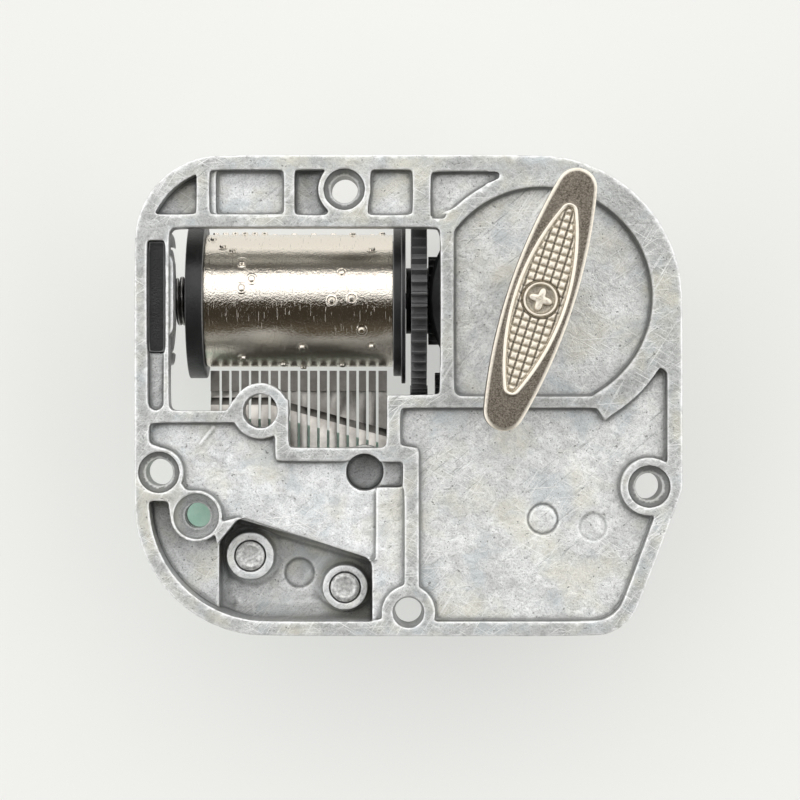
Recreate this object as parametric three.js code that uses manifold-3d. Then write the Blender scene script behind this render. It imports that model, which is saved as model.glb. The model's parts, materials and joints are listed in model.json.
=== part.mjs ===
// An eighteen-note cylinder music movement, lying with its winding key up.
// Millimetres. X runs along the music cylinder, Y from the comb towards the cylinder, Z up to the key.
// The origin lies under the middle of the bedplate, in the plane of the spring housing's far face.

import * as THREE from 'three';
import { mergeVertices } from 'three/addons/utils/BufferGeometryUtils.js';
import Module from 'manifold-3d';

const wasm = await Module();
wasm.setup();

// ---------------------------------------------------------------- driving dimensions

// Bedplate, a die-cast tray with its rim up.
const HALF_LENGTH = 25.0;
const HALF_WIDTH = 21.95;
const RIM_WIDTH = 1.35;
const RIM_Z = 20.6;
const FLOOR_Z = 19.3;
const DEEP_POCKET_Z = 18.3;
const CRESCENT_Z = 17.3;
const COMB_POCKET_Z = 14.3;
const PLATE_Z = 17.6;
const SKIRT_Z = 15.6;
const SEAT_Z = 11.65;

// Shafts. The arbor is upright, the cylinder lies along X, and the fly is upright.
const ARBOR = { x: 12.2, y: 8.95, radius: 1.25 };
const AXIS = { y: 8.95, z: 11.2, radius: 0.75 };
const FIT = 0.08;

// Gearing.
const MODULE = 0.35;
const CYLINDER_TEETH = 48;
const PINION_TEETH = 22;
const CROWN_TEETH = 54;
const GOVERNOR_PINION_TEETH = 10;
const WORM_MODULE = 0.3;
const WORM_WHEEL_TEETH = 20;

// Music cylinder and comb.
const DRUM = { left: -18.9, right: -1.45, radius: 6.25, wall: 0.5 };
const PIN_HEIGHT = 0.25;
const NOTES = 18;
const COMB = { left: -18.64, right: -2.0, tips: 2.35, back: -19.3, low: 10.8, thin: 11.1, high: 11.6 };

// Spring housing.
const CUP = { radius: 9.6, wall: 1.0, top: 6.6 };
const HUB = { radius: 6.9, bore: 4.0, top: 15.1 };

// A chord of a faceted arc leaves the true arc by at most this much.
const CHORD_ERROR = 0.042;
const FULL_TURN = 2 * Math.PI;

// Mounting holes: centre, boss radius and the radius of the countersink at the rim.
const MOUNTING_HOLES = [
  { x: -5.85, y: 18.8, boss: 2.45, sink: 1.9 },
  { x: -22.75, y: -7.0, boss: 2.3, sink: 1.9 },
  { x: 0.0, y: -19.75, boss: 2.5, sink: 1.45 },
  { x: 21.95, y: -8.3, boss: 2.7, sink: 1.95 },
];
const MOUNTING_RADIUS = 1.25;

const COMB_SCREWS = [
  { name: 'comb_screw_left', x: -14.6, y: -14.8, boss: 2.25 },
  { name: 'comb_screw_right', x: -5.85, y: -17.7, boss: 2.15 },
];
const HOUSING_SCREWS = [
  { name: 'housing_screw_upper', x: 3.8, y: 18.7 },
  { name: 'housing_screw_lower', x: 22.0, y: -0.2 },
];
const GOVERNOR_SCREW = { x: 12.3, y: -11.3 };

// ---------------------------------------------------------------- materials

function finish(color, metalness, roughness) {
  return new THREE.MeshStandardMaterial({ color, metalness, roughness, flatShading: true });
}

const dieCast = () => finish('#b4b8b6', 0.9, 0.45);
const nickel = () => finish('#c9c2b4', 1.0, 0.18);
const steel = () => finish('#8c8983', 1.0, 0.35);
const darkSteel = () => finish('#6b655e', 1.0, 0.4);
const bronze = () => finish('#a39a8c', 1.0, 0.38);
const brass = () => finish('#b49a5f', 1.0, 0.3);
const blackPlastic = () => finish('#1d1d1f', 0.0, 0.45);
const greyPlastic = () => finish('#3a3b3d', 0.0, 0.5);
const greenLacquer = () => finish('#6fa893', 0.1, 0.45);

// ---------------------------------------------------------------- solids from three.js geometry

/** A closed solid from a geometry whose seams only have to be merged. */
function solid(geometry) {
  const bare = geometry.index ? geometry.toNonIndexed() : geometry.clone();
  bare.deleteAttribute('normal');
  bare.deleteAttribute('uv');
  const merged = mergeVertices(bare, 1e-4);
  const corners = merged.index.array;
  const triangles = [];
  for (let i = 0; i < corners.length; i += 3) {
    const [a, b, c] = [corners[i], corners[i + 1], corners[i + 2]];
    if (a !== b && b !== c && c !== a) triangles.push(a, b, c);
  }
  const vertProperties = new Float32Array(merged.attributes.position.array);
  const triVerts = new Uint32Array(triangles);
  return new wasm.Manifold(new wasm.Mesh({ numProp: 3, vertProperties, triVerts }));
}

function joined(solids) {
  return solids.reduce((whole, next) => whole.add(next));
}

const parts = new THREE.Group();

/** Adds a solid to the model as a named mesh. */
function place(name, body, material) {
  const { vertProperties, triVerts } = body.getMesh();
  const geometry = new THREE.BufferGeometry();
  geometry.setAttribute('position', new THREE.BufferAttribute(vertProperties, 3));
  geometry.setIndex(new THREE.BufferAttribute(triVerts, 1));
  geometry.computeVertexNormals();
  const mesh = new THREE.Mesh(geometry, material);
  mesh.name = name;
  parts.add(mesh);
}

// ---------------------------------------------------------------- outlines

/** Points along an arc, both ends included. Angles in radians. */
function arcPoints(x, y, radius, from, sweep) {
  const widest = 2 * Math.acos(1 - CHORD_ERROR / Math.max(radius, 0.3));
  const steps = Math.max(2, Math.ceil(Math.abs(sweep) / widest));
  const points = [];
  for (let i = 0; i <= steps; i += 1) {
    const angle = from + (sweep * i) / steps;
    points.push([x + radius * Math.cos(angle), y + radius * Math.sin(angle)]);
  }
  return points;
}

/** The same, in degrees, turning anticlockwise from one angle to the other. */
function arc(x, y, radius, from, to) {
  return arcPoints(x, y, radius, THREE.MathUtils.degToRad(from), THREE.MathUtils.degToRad(to - from));
}

function circle(x, y, radius) {
  return arcPoints(x, y, radius, 0, FULL_TURN).slice(0, -1);
}

function rectangle(left, bottom, right, top, radius = 0) {
  return outline([
    [left, bottom, radius], [right, bottom, radius], [right, top, radius], [left, top, radius],
  ]);
}

/** A closed outline from corners [x, y] or, to round the corner off, [x, y, radius]. */
function outline(corners) {
  return corners.flatMap((corner, i) => {
    const [x, y, radius = 0] = corner;
    if (radius === 0) return [[x, y]];
    const here = new THREE.Vector2(x, y);
    const previous = corners[(i + corners.length - 1) % corners.length];
    const next = corners[(i + 1) % corners.length];
    const back = new THREE.Vector2(previous[0], previous[1]).sub(here).normalize();
    const on = new THREE.Vector2(next[0], next[1]).sub(here).normalize();
    const half = Math.acos(THREE.MathUtils.clamp(back.dot(on), -1, 1)) / 2;
    const start = here.clone().addScaledVector(back, radius / Math.tan(half));
    const end = here.clone().addScaledVector(on, radius / Math.tan(half));
    const middle = here.clone().addScaledVector(back.clone().add(on).normalize(), radius / Math.sin(half));
    const from = start.clone().sub(middle).angle();
    const turn = end.clone().sub(middle).angle() - from;
    const sweep = turn - FULL_TURN * Math.round(turn / FULL_TURN);
    return arcPoints(middle.x, middle.y, radius, from, sweep);
  });
}

/** An upright prism on an outline. */
function prism(points, low, high) {
  const shape = new THREE.Shape(points.map(([x, y]) => new THREE.Vector2(x, y)));
  const geometry = new THREE.ExtrudeGeometry(shape, { depth: high - low, bevelEnabled: false });
  return solid(geometry.translate(0, 0, low));
}

function disc(x, y, radius, low, high) {
  return prism(circle(x, y, radius), low, high);
}

/** A turned solid about an upright axis through x, y. The profile holds [radius, z] points. */
function turned(profile, x, y, steps = 24) {
  const points = profile.map(([radius, z]) => new THREE.Vector2(radius, z));
  const geometry = new THREE.LatheGeometry(points, steps);
  return solid(geometry.rotateX(Math.PI / 2).translate(x, y, 0));
}

/** A turned solid about the line along X through y, z. The profile holds [radius, x] points. */
function turnedAlongX(profile, y, z, steps = 24) {
  const points = profile.map(([radius, x]) => new THREE.Vector2(radius, x));
  const geometry = new THREE.LatheGeometry(points, steps);
  return solid(geometry.rotateZ(-Math.PI / 2).translate(0, y, z));
}

/** A round bar or hole along X. */
function barAlongX(y, z, radius, left, right, steps = 20) {
  return turnedAlongX([[0, left], [radius, left], [radius, right], [0, right]], y, z, steps);
}

/** A prism along X whose outline lies in the Y, Z plane. */
function prismAlongX(points, left, right) {
  const shape = new THREE.Shape(points.map(([y, z]) => new THREE.Vector2(y, z)));
  const geometry = new THREE.ExtrudeGeometry(shape, { depth: right - left, bevelEnabled: false });
  geometry.rotateZ(Math.PI / 2).rotateY(Math.PI / 2);
  return solid(geometry.translate(left, 0, 0));
}

// ---------------------------------------------------------------- bedplate

/** The bedplate's outline, moved inwards by an inset. */
function bedplateOutline(inset) {
  const shoulder = new THREE.Vector2(HALF_LENGTH, -8.54);
  const foot = new THREE.Vector2(19.92, -HALF_WIDTH);
  const slope = foot.clone().sub(shoulder).normalize();
  const shift = new THREE.Vector2(slope.y, -slope.x).multiplyScalar(inset);
  const right = HALF_LENGTH - inset;
  const bottom = -HALF_WIDTH + inset;
  const onSlope = shoulder.clone().add(shift);
  const shoulderY = onSlope.y + ((right - onSlope.x) * slope.y) / slope.x;
  const footX = onSlope.x + ((bottom - onSlope.y) * slope.x) / slope.y;
  return outline([
    [-right, -bottom, 8.0 - inset],
    [right, -bottom, 13.3 - inset],
    [right, shoulderY, 3.0 - inset / 2],
    [footX, bottom, 4.5 - inset],
    [-right, bottom, 12.1 - inset],
  ]);
}

const WINDOW = outline([
  [-21.85, 15.35, 0.7], [2.93, 15.35, 0.6], [2.93, 0.05, 0.5], [-1.97, 0.05], [-1.97, -4.8, 0.6],
  [-10.95, -4.8, 0.5], [-10.95, -0.35], [-15.95, -0.35], [-16.6, -1.4, 0.3], [-21.85, -1.4, 0.6],
]);
const WINDOW_RING = { x: -13.5, y: -1.4, radius: 2.6, hole: 1.6 };
const SIGHT_HOLE = { x: -19.34, y: -11.0, boss: 2.4, hole: 1.18 };
const BLIND_HOLE = { x: -4.0, y: -7.0, radius: 1.75, floor: 16.0 };
const BARREL = { y: 9.0, recess: 10.1 };
const BUSH = { left: -23.85, right: -22.15, bottom: 3.9, top: 14.15, floor: 6.0 };

/** Recesses cut from the rim, each with the bosses it runs around left standing. */
function recesses() {
  const top = RIM_Z + 1;
  const bosses = joined(MOUNTING_HOLES.map((hole) => disc(hole.x, hole.y, hole.boss, 0, top)));
  const within = prism(bedplateOutline(RIM_WIDTH), 0, top);
  const window = disc(WINDOW_RING.x, WINDOW_RING.y, WINDOW_RING.radius, 0, top);
  const sight = disc(SIGHT_HOLE.x, SIGHT_HOLE.y, SIGHT_HOLE.boss, 0, top);

  const cornerPocket = prism(outline([
    [-24, 16.5], [-19.3, 16.5, 0.4], [-19.3, 21, 0.4], [-24, 21],
  ]), DEEP_POCKET_Z, top);
  const ledge = prism(rectangle(-18.15, 16.5, -11.35, 20.6, 0.35), FLOOR_Z + 0.5, top);
  const longPocket = prism(rectangle(-17.6, 16.5, -11.35, 20.6, 0.35), FLOOR_Z - 0.3, top);
  const smallPocket = prism(rectangle(-10.4, 16.45, -7.3, 20.6, 0.35), DEEP_POCKET_Z, top);
  const middlePocket = prism(outline([
    [0.4, 16.45, 0.4], [0.4, 20.6, 0.4], [-3.4, 20.6, 0.3], [-3.75, 16.45, 0.3],
  ]), FLOOR_Z, top);
  const barrelWall = disc(ARBOR.x, BARREL.y, BARREL.recess + RIM_WIDTH, 0, top);
  const pointedPocket = prism(outline([
    [2.0, 16.0, 0.3], [8.35, 16.0], [8.35, 20.45, 0.3], [2.0, 20.45, 0.5],
  ]), FLOOR_Z, top).subtract(barrelWall);

  const leftRecess = prism(outline([
    [-23.7, -2.45, 0.55], [-12.15, -2.45], [-12.15, -6.0, 0.4], [-2.95, -6.0], [-2.95, -15.15, 0.3],
    [-15.5, -11.1, 0.3], [-17.4, -11.6], [-19.34, -11.0], [-19.6, -8.65, 0.3], [-20.35, -8.6, 0.4],
    [-20.6, -8.1], [-22.75, -7.0], [-22.75, -4.65], [-23.7, -4.4, 0.6],
  ]), FLOOR_Z, top).subtract(window).subtract(sight);
  const shelf = prism(outline([
    [-3.0, -8.35], [-0.35, -8.35, 0.3], [-0.35, -17.3, 0.5], [-1.2, -17.75], [0, -19.75],
    [-2.9, -20.45], [-3.5, -20.45], [-3.5, -15.1], [-3.0, -15.0],
  ]), FLOOR_Z + 0.35, top);
  const blindSlot = prism(rectangle(-4.0, -8.4, -0.5, -6.05, 0.25), DEEP_POCKET_Z - 0.4, top);

  const crescent = prism(outline([
    [-23.65, -9.6, 0.4], [-21.85, -9.6, 0.4], [-21.75, -11.0], [-19.34, -11.0], [-17.6, -12.7],
    [-17.4, -13.7], [-17.4, -22], [-24, -22], [-24, -11.5],
  ]), CRESCENT_Z, top).subtract(sight);
  const combPocket = prism(outline([
    [-15.7, -11.0, 1.0], [-3.3, -15.0, 1.0], [-3.3, -22], [-17.45, -22], [-17.45, -13.5, 1.0],
    [-16.1, -11.9, 0.3],
  ]), COMB_POCKET_Z, top);

  const barrelRecess = prism(outline([
    [4.1, -0.1, 0.8], [16.7, -0.1, 0.3], ...arc(ARBOR.x, BARREL.y, BARREL.recess, -62, 143),
  ]), FLOOR_Z, top);
  const governorRecess = prism(outline([
    [-0.75, -1.1, 0.4], [17.2, -1.1, 0.4], [17.95, -2.35], ...arc(ARBOR.x, BARREL.y, 12.5, -61.5, -31),
    [23.6, 2.2, 0.5], [23.6, -6.0, 0.3], [21.95, -8.3], [22.45, -10.95, 0.3], [18.95, -20.6, 3.1],
    [2.6, -20.6, 0.4], [0, -19.75], [1.9, -18.65, 0.6], [0.95, -17.5, 0.4], [0.95, -4.75, 0.35],
    [-0.75, -4.55, 0.3],
  ]), FLOOR_Z, top);

  const round = joined([
    cornerPocket, ledge, longPocket, smallPocket, middlePocket, pointedPocket, leftRecess, shelf, blindSlot,
    crescent, combPocket, barrelRecess, governorRecess,
  ]);
  return round.intersect(within).subtract(bosses);
}

/** Material that hangs below the plate: seats, posts and the left bearing leg. */
function hangingLugs() {
  const inside = prism(bedplateOutline(0), 0, RIM_Z);
  const rims = MOUNTING_HOLES.map((hole) => disc(hole.x, hole.y, hole.boss, SKIRT_Z, PLATE_Z + 1));
  const crescentBed = prism(rectangle(-25, -22, -16.9, -8.0), SKIRT_Z, CRESCENT_Z);
  const combSeat = prism(outline([
    [-16.2, -9.9, 1.0], [-2.0, -14.4, 0.8], [-2.0, -22], [-18.7, -22], [-18.7, -13.2, 1.0],
  ]), SEAT_Z, COMB_POCKET_Z + 3.3);
  const ringWall = disc(WINDOW_RING.x, WINDOW_RING.y, WINDOW_RING.radius, SKIRT_Z + 0.6, RIM_Z);
  const blindCup = disc(BLIND_HOLE.x, BLIND_HOLE.y, 2.5, BLIND_HOLE.floor - 1, PLATE_Z + 1);
  const posts = HOUSING_SCREWS.map((screw) => disc(screw.x, screw.y, 1.7, CUP.top + 0.05, PLATE_Z + 1));
  const governorBoss = disc(GOVERNOR_SCREW.x, GOVERNOR_SCREW.y, 2.6, 14.65, PLATE_Z + 1);
  const leg = prismAlongX(outline([
    [2.8, PLATE_Z + 1], [2.8, 9.0, 4.5], [9.0, 4.9, 5.0], [15.25, 9.0, 4.5], [15.25, PLATE_Z + 1],
  ]), -HALF_LENGTH, -22.12);
  const brow = prism(outline([
    [-22.3, 13.4], [-21.45, 12.4, 1.0], [-21.45, 5.9, 1.0], [-22.3, 4.9],
  ]), 17.0, RIM_Z - 0.4);
  return joined([
    ...rims, crescentBed, combSeat, ringWall, blindCup, ...posts, governorBoss, leg, brow,
  ]).intersect(inside);
}

/** Everything drilled or milled through the bedplate. */
function drillings() {
  const top = RIM_Z + 1;
  const mounting = MOUNTING_HOLES.map((hole) => turned([
    [0, SKIRT_Z - 1], [MOUNTING_RADIUS, SKIRT_Z - 1], [MOUNTING_RADIUS, RIM_Z - 0.9],
    [hole.sink, RIM_Z - 0.35], [hole.sink, top], [0, top],
  ], hole.x, hole.y, 18));
  const sight = turned([
    [0, SKIRT_Z - 1], [SIGHT_HOLE.hole, SKIRT_Z - 1], [SIGHT_HOLE.hole, CRESCENT_Z + 1.4],
    [SIGHT_HOLE.hole + 0.2, CRESCENT_Z + 1.45], [2.1, RIM_Z - 0.5], [2.1, top], [0, top],
  ], SIGHT_HOLE.x, SIGHT_HOLE.y, 20);
  const combScrews = COMB_SCREWS.map(({ x, y }) => disc(x, y, 1.5, SEAT_Z - 1, top));
  const housingScrews = HOUSING_SCREWS.map(({ x, y }) => disc(x, y, 1.1, CUP.top - 1, CUP.top + 6));
  return joined([
    ...mounting, sight, ...combScrews, ...housingScrews,
    disc(WINDOW_RING.x, WINDOW_RING.y, WINDOW_RING.hole, SKIRT_Z, top),
    disc(BLIND_HOLE.x, BLIND_HOLE.y, BLIND_HOLE.radius, BLIND_HOLE.floor, top),
    disc(GOVERNOR_SCREW.x, GOVERNOR_SCREW.y, 1.1, 14, FLOOR_Z - 0.9),
    disc(ARBOR.x, ARBOR.y, ARBOR.radius + FIT, PLATE_Z - 1, top),
    prism(rectangle(BUSH.left, BUSH.bottom, BUSH.right, BUSH.top, 0.3), BUSH.floor, top),
    prism(outline([[-23.75, 4.2], [-22.3, 4.2], [-22.3, -1.35, 0.7], [-23.75, -1.35, 0.7]]), FLOOR_Z, top),
    barAlongX(AXIS.y, AXIS.z, AXIS.radius + FIT, -23.0, -21.0),
  ]);
}

/** Shallow marks on the recess floors: a ring over the governor's screw and two ejector pin marks. */
function floorMarks() {
  const { x, y } = GOVERNOR_SCREW;
  const ring = disc(x, y, 1.6, FLOOR_Z - 0.15, RIM_Z).subtract(disc(x, y, 1.2, 0, RIM_Z));
  const ejector = disc(16.9, -12.0, 1.44, FLOOR_Z - 0.12, RIM_Z);
  const combEjector = disc(-10.15, -16.5, 1.5, COMB_POCKET_Z - 0.2, RIM_Z);
  return joined([ring, ejector, combEjector]);
}

function bedplate() {
  const block = prism(bedplateOutline(0), SKIRT_Z, RIM_Z);
  const hollow = prism(bedplateOutline(RIM_WIDTH), SKIRT_Z - 1, PLATE_Z);
  const window = prism(WINDOW, 0, RIM_Z + 1);
  const combBosses = joined(COMB_SCREWS.map(({ x, y, boss }) => disc(x, y, boss, COMB_POCKET_Z - 1, 17.2)));
  const driveWheelRoom = disc(ARBOR.x, ARBOR.y, 10.8, 0, PLATE_Z - 0.1);
  return block
    .subtract(hollow)
    .subtract(driveWheelRoom)
    .subtract(window)
    .add(hangingLugs())
    .subtract(recesses())
    .add(combBosses)
    .subtract(floorMarks())
    .subtract(drillings());
}

// ---------------------------------------------------------------- gearing

/** A gear outline about the origin, with its first tooth or gap on the X axis. */
function gearOutline(teeth, module, { share, addendum, dedendum, slant, startsWithGap = false }) {
  const pitch = (teeth * module) / 2;
  const tip = pitch + addendum;
  const root = pitch - dedendum;
  const half = (share * Math.PI * module) / 2;
  const halves = [
    [root, (half + 0.03) / pitch],
    [tip, (half - addendum * slant) / tip],
  ];
  const points = [];
  for (let i = 0; i < teeth; i += 1) {
    const middle = (FULL_TURN * (i + (startsWithGap ? 0.5 : 0))) / teeth;
    for (const [radius, angle] of halves) {
      points.push([radius * Math.cos(middle - angle), radius * Math.sin(middle - angle)]);
    }
    for (const [radius, angle] of halves.toReversed()) {
      points.push([radius * Math.cos(middle + angle), radius * Math.sin(middle + angle)]);
    }
  }
  return points;
}

/** A spur gear on the line along X through y, z, turned by an angle. */
function gearAlongX(points, turn, y, z, left, right) {
  const placed = points.map(([u, v]) => [
    y + u * Math.cos(turn) - v * Math.sin(turn),
    z + u * Math.sin(turn) + v * Math.cos(turn),
  ]);
  return prismAlongX(placed, left, right);
}

const CYLINDER_PITCH = (CYLINDER_TEETH * MODULE) / 2;
const GOVERNOR_PITCH = (GOVERNOR_PINION_TEETH * MODULE) / 2;
const WORM_WHEEL_PITCH = (WORM_WHEEL_TEETH * WORM_MODULE) / 2;
const WORM_PITCH = 1.0;

// The governor's first shaft hangs below and beside the cylinder, in mesh with its large gear.
const GEAR_DISTANCE = CYLINDER_PITCH + GOVERNOR_PITCH + 0.05;
const MESH_ANGLE = Math.PI + Math.asin(2.2 / GEAR_DISTANCE);
const COUNTER = {
  y: AXIS.y + GEAR_DISTANCE * Math.cos(MESH_ANGLE),
  z: AXIS.z + GEAR_DISTANCE * Math.sin(MESH_ANGLE),
  radius: 0.5,
};
const FLY = { x: 3.0, y: COUNTER.y - WORM_WHEEL_PITCH - WORM_PITCH - 0.15, radius: 0.45 };

const FULL_TOOTH = { share: 0.42, addendum: 0.33, dedendum: 0.45, slant: 0.42 };

/** The large gear and the small pinion beside it, moulded in one piece. */
function cylinderGear() {
  const large = gearOutline(CYLINDER_TEETH, MODULE, FULL_TOOTH);
  const small = gearOutline(PINION_TEETH, MODULE, { ...FULL_TOOTH, share: 0.38 });
  const hub = barAlongX(AXIS.y, AXIS.z, 3.1, -0.2, 1.95, 28);
  return joined([
    gearAlongX(large, MESH_ANGLE, AXIS.y, AXIS.z, 0.27, 1.72),
    gearAlongX(small, Math.PI / 2, AXIS.y, AXIS.z, 1.9, 3.7),
    hub,
  ]).subtract(barAlongX(AXIS.y, AXIS.z, AXIS.radius + 0.05, -1, 5));
}

/** The counter shaft's pinion and worm wheel, moulded in one piece. */
function governorWheel() {
  const pinionShape = { share: 0.34, addendum: 0.25, dedendum: 0.45, slant: 0.3, startsWithGap: true };
  const wheelShape = { share: 0.34, addendum: 0.2, dedendum: 0.3, slant: 0.35 };
  const pinion = gearOutline(GOVERNOR_PINION_TEETH, MODULE, pinionShape);
  const wheel = gearOutline(WORM_WHEEL_TEETH, WORM_MODULE, wheelShape);
  return joined([
    gearAlongX(pinion, MESH_ANGLE, COUNTER.y, COUNTER.z, 0.2, 1.85),
    gearAlongX(wheel, Math.PI, COUNTER.y, COUNTER.z, FLY.x - 0.45, FLY.x + 0.45),
    barAlongX(COUNTER.y, COUNTER.z, 1.1, 0.1, 3.8, 16),
  ]).subtract(barAlongX(COUNTER.y, COUNTER.z, COUNTER.radius + 0.05, -1, 5, 16));
}

/** The drive wheel: crown teeth under a disc, with a sleeve that hangs into the housing's hub. */
function driveWheel() {
  const [inner, outer] = [8.75, 10.15];
  const [web, top] = [15.5, 17.0];
  const pitchZ = AXIS.z + (PINION_TEETH * MODULE) / 2;
  const [tipZ, rootZ] = [pitchZ - 0.33, web + 0.1];
  const half = 0.18;
  const body = turned([
    [1.4, top], [1.4, 14.3], [2.5, 14.3], [2.5, 9.3], [3.4, 9.3], [3.4, web], [10.35, web],
    [10.35, top - 0.3], [10.05, top], [1.4, top],
  ], ARBOR.x, ARBOR.y, 36);
  const teeth = [];
  for (let i = 0; i < CROWN_TEETH; i += 1) {
    const section = new THREE.Shape([
      new THREE.Vector2(-half - 0.16, rootZ), new THREE.Vector2(-half + 0.1, tipZ),
      new THREE.Vector2(half - 0.1, tipZ), new THREE.Vector2(half + 0.16, rootZ),
    ]);
    const tooth = new THREE.ExtrudeGeometry(section, { depth: outer - inner, bevelEnabled: false });
    tooth.rotateX(Math.PI / 2).translate(0, -inner, 0);
    tooth.rotateZ((FULL_TURN * (i + 0.5)) / CROWN_TEETH - Math.PI / 2);
    teeth.push(solid(tooth.translate(ARBOR.x, ARBOR.y, 0)));
  }
  return body.add(joined(teeth));
}

// ---------------------------------------------------------------- springs and threads

class Helix extends THREE.Curve {
  constructor(radius, pitch, turns, start = 0) {
    super();
    Object.assign(this, { radius, pitch, turns, start });
  }

  getPoint(t, target = new THREE.Vector3()) {
    const angle = this.start + FULL_TURN * this.turns * t;
    const rise = this.pitch * this.turns * t;
    return target.set(this.radius * Math.cos(angle), this.radius * Math.sin(angle), rise);
  }
}

/** A wound wire about the Z axis, starting at z = 0. */
function coil(radius, wire, pitch, turns, start, stepsPerTurn, sides) {
  const section = new THREE.Shape(
    Array.from({ length: sides }, (_, i) => {
      const angle = (FULL_TURN * i) / sides;
      return new THREE.Vector2(wire * Math.cos(angle), wire * Math.sin(angle));
    }),
  );
  return new THREE.ExtrudeGeometry(section, {
    steps: Math.round(stepsPerTurn * turns),
    extrudePath: new Helix(radius, pitch, turns, start),
  });
}

function clutchSpring() {
  return solid(coil(1.75, 0.25, 0.62, 6, 0, 10, 4).translate(ARBOR.x, ARBOR.y, 9.9));
}

function cylinderEndSpring() {
  const wound = coil(1.9, 0.22, 0.46, 2, 0, 12, 5);
  return solid(wound.rotateY(Math.PI / 2).translate(-21.78, AXIS.y, AXIS.z));
}

/** The mainspring, a spiral strip standing in the housing. */
function mainspring() {
  const [inner, outer, turns, half, steps] = [2.75, 8.15, 4, 0.14, 56];
  const edge = (side) => Array.from({ length: steps + 1 }, (_, i) => {
    const t = i / steps;
    const radius = inner + (outer - inner) * t + side * half;
    const angle = FULL_TURN * turns * t;
    return [ARBOR.x + radius * Math.cos(angle), ARBOR.y + radius * Math.sin(angle)];
  });
  return prism([...edge(1), ...edge(-1).reverse()], 1.5, 5.3);
}

/** The single-start worm, in mesh with the worm wheel. */
function governorWorm() {
  const wormPitch = Math.PI * WORM_MODULE;
  const turns = 5;
  const low = COUNTER.z - (wormPitch * turns) / 2;
  const thread = coil(WORM_PITCH, 0.2, wormPitch, turns, Math.PI / 2, 10, 4);
  const core = turned([
    [FLY.radius + 0.05, low - 0.5], [0.82, low - 0.5], [0.82, low + wormPitch * turns + 0.3],
    [FLY.radius + 0.05, low + wormPitch * turns + 0.3], [FLY.radius + 0.05, low - 0.5],
  ], FLY.x, FLY.y, 8);
  return core.add(solid(thread.translate(FLY.x, FLY.y, low)));
}

// ---------------------------------------------------------------- music cylinder

/** The pinned brass tube. Pins stand in eighteen rings, one under each tooth's middle. */
function drum() {
  const inner = DRUM.radius - DRUM.wall;
  const tube = turnedAlongX([
    [inner, DRUM.left], [DRUM.radius, DRUM.left], [DRUM.radius, DRUM.right], [inner, DRUM.right],
    [inner, DRUM.left],
  ], AXIS.y, AXIS.z, 40);
  const pitch = (COMB.right - COMB.left) / NOTES;
  const pins = [];
  for (let note = 0; note < NOTES; note += 1) {
    for (let beat = 0; beat < 2; beat += 1) {
      const angle = FULL_TURN * (((note * 7 + beat * 11) % 23) / 23);
      const pin = new THREE.CylinderGeometry(0.14, 0.2, PIN_HEIGHT + 0.2, 4);
      pin.translate(0, DRUM.radius + (PIN_HEIGHT - 0.2) / 2, 0);
      pin.rotateX(angle).translate(COMB.left + pitch * (note + 0.5), AXIS.y, AXIS.z);
      pins.push(solid(pin));
    }
  }
  return tube.add(joined(pins));
}

function leftCap() {
  const bore = AXIS.radius + 0.05;
  return turnedAlongX([
    [bore, -20.56], [7.1, -20.56], [7.3, -20.36], [7.3, -18.95], [5.6, -18.95], [5.6, -17.6], [bore, -17.6],
    [bore, -20.56],
  ], AXIS.y, AXIS.z, 32);
}

function rightFlange() {
  const bore = AXIS.radius + 0.05;
  return turnedAlongX([
    [bore, -2.8], [5.6, -2.8], [5.6, -1.4], [7.1, -1.4], [7.1, -0.65], [7.8, -0.65], [7.8, -0.25],
    [bore, -0.25], [bore, -2.8],
  ], AXIS.y, AXIS.z, 32);
}

// ---------------------------------------------------------------- comb

/** Height in Y of the slanted line where the thin teeth run into the thick root. */
function rootLine(x) {
  return -0.24 - 0.32 * (x + 11.07);
}

function comb() {
  const tooth = (COMB.right - COMB.left) / NOTES;
  const slit = 0.25;
  const body = prism(outline([
    [COMB.left, COMB.tips], [COMB.left, COMB.back, 0.8],
    [COMB.right, COMB.back, 0.8], [COMB.right, COMB.tips],
  ]), COMB.low, COMB.high);
  const cuts = [];
  for (let i = 1; i < NOTES; i += 1) {
    const x = COMB.left + tooth * i;
    cuts.push(prism(rectangle(x - slit / 2, rootLine(x) - 6.5, x + slit / 2, COMB.tips + 1), 10, 12));
  }
  const [left, right, shoulder] = [COMB.left - 1, COMB.right + 1, 0.43];
  const thinned = prism([
    [left, shoulder], [left, shoulder - 0.6], [-13.0, shoulder - 0.6],
    [right, rootLine(right)], [right, shoulder],
  ], COMB.thin, 12);
  const screws = COMB_SCREWS.map(({ x, y }) => disc(x, y, 1.45, 10, 12));
  return body.subtract(joined([...cuts, thinned, ...screws]));
}

/** The heel plate that clamps the comb from behind. */
function combBase() {
  const plate = prism(outline([
    [-21.3, -8.6, 0.8], [-18.7, -8.6, 0.3], [-18.7, -2.2, 0.5], [-12.0, -2.2, 0.4], [-2.2, -4.6, 0.5],
    [-2.2, -19.2, 0.8], [-18.4, -19.2, 1.5], [-21.3, -15.6, 1.5],
  ]), 9.3, 10.75);
  return plate.subtract(joined(COMB_SCREWS.map(({ x, y }) => disc(x, y, 1.45, 9, 12))));
}

// ---------------------------------------------------------------- screws

/** A pan-head screw with its head down and a slot across it. */
function screw({ x, y }, head, headRadius, shankRadius, tip) {
  const chamfer = shankRadius * 0.3;
  const body = turned([
    [0, head.low], [headRadius - 0.3, head.low], [headRadius, head.low + 0.3], [headRadius, head.high],
    [shankRadius, head.high], [shankRadius, tip - chamfer], [shankRadius - chamfer, tip], [0, tip],
  ], x, y, 14);
  const slot = rectangle(x - headRadius - 1, y - 0.25, x + headRadius + 1, y + 0.25);
  return body.subtract(prism(slot, 0, head.low + 0.5));
}

// ---------------------------------------------------------------- spring housing and winding parts

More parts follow.
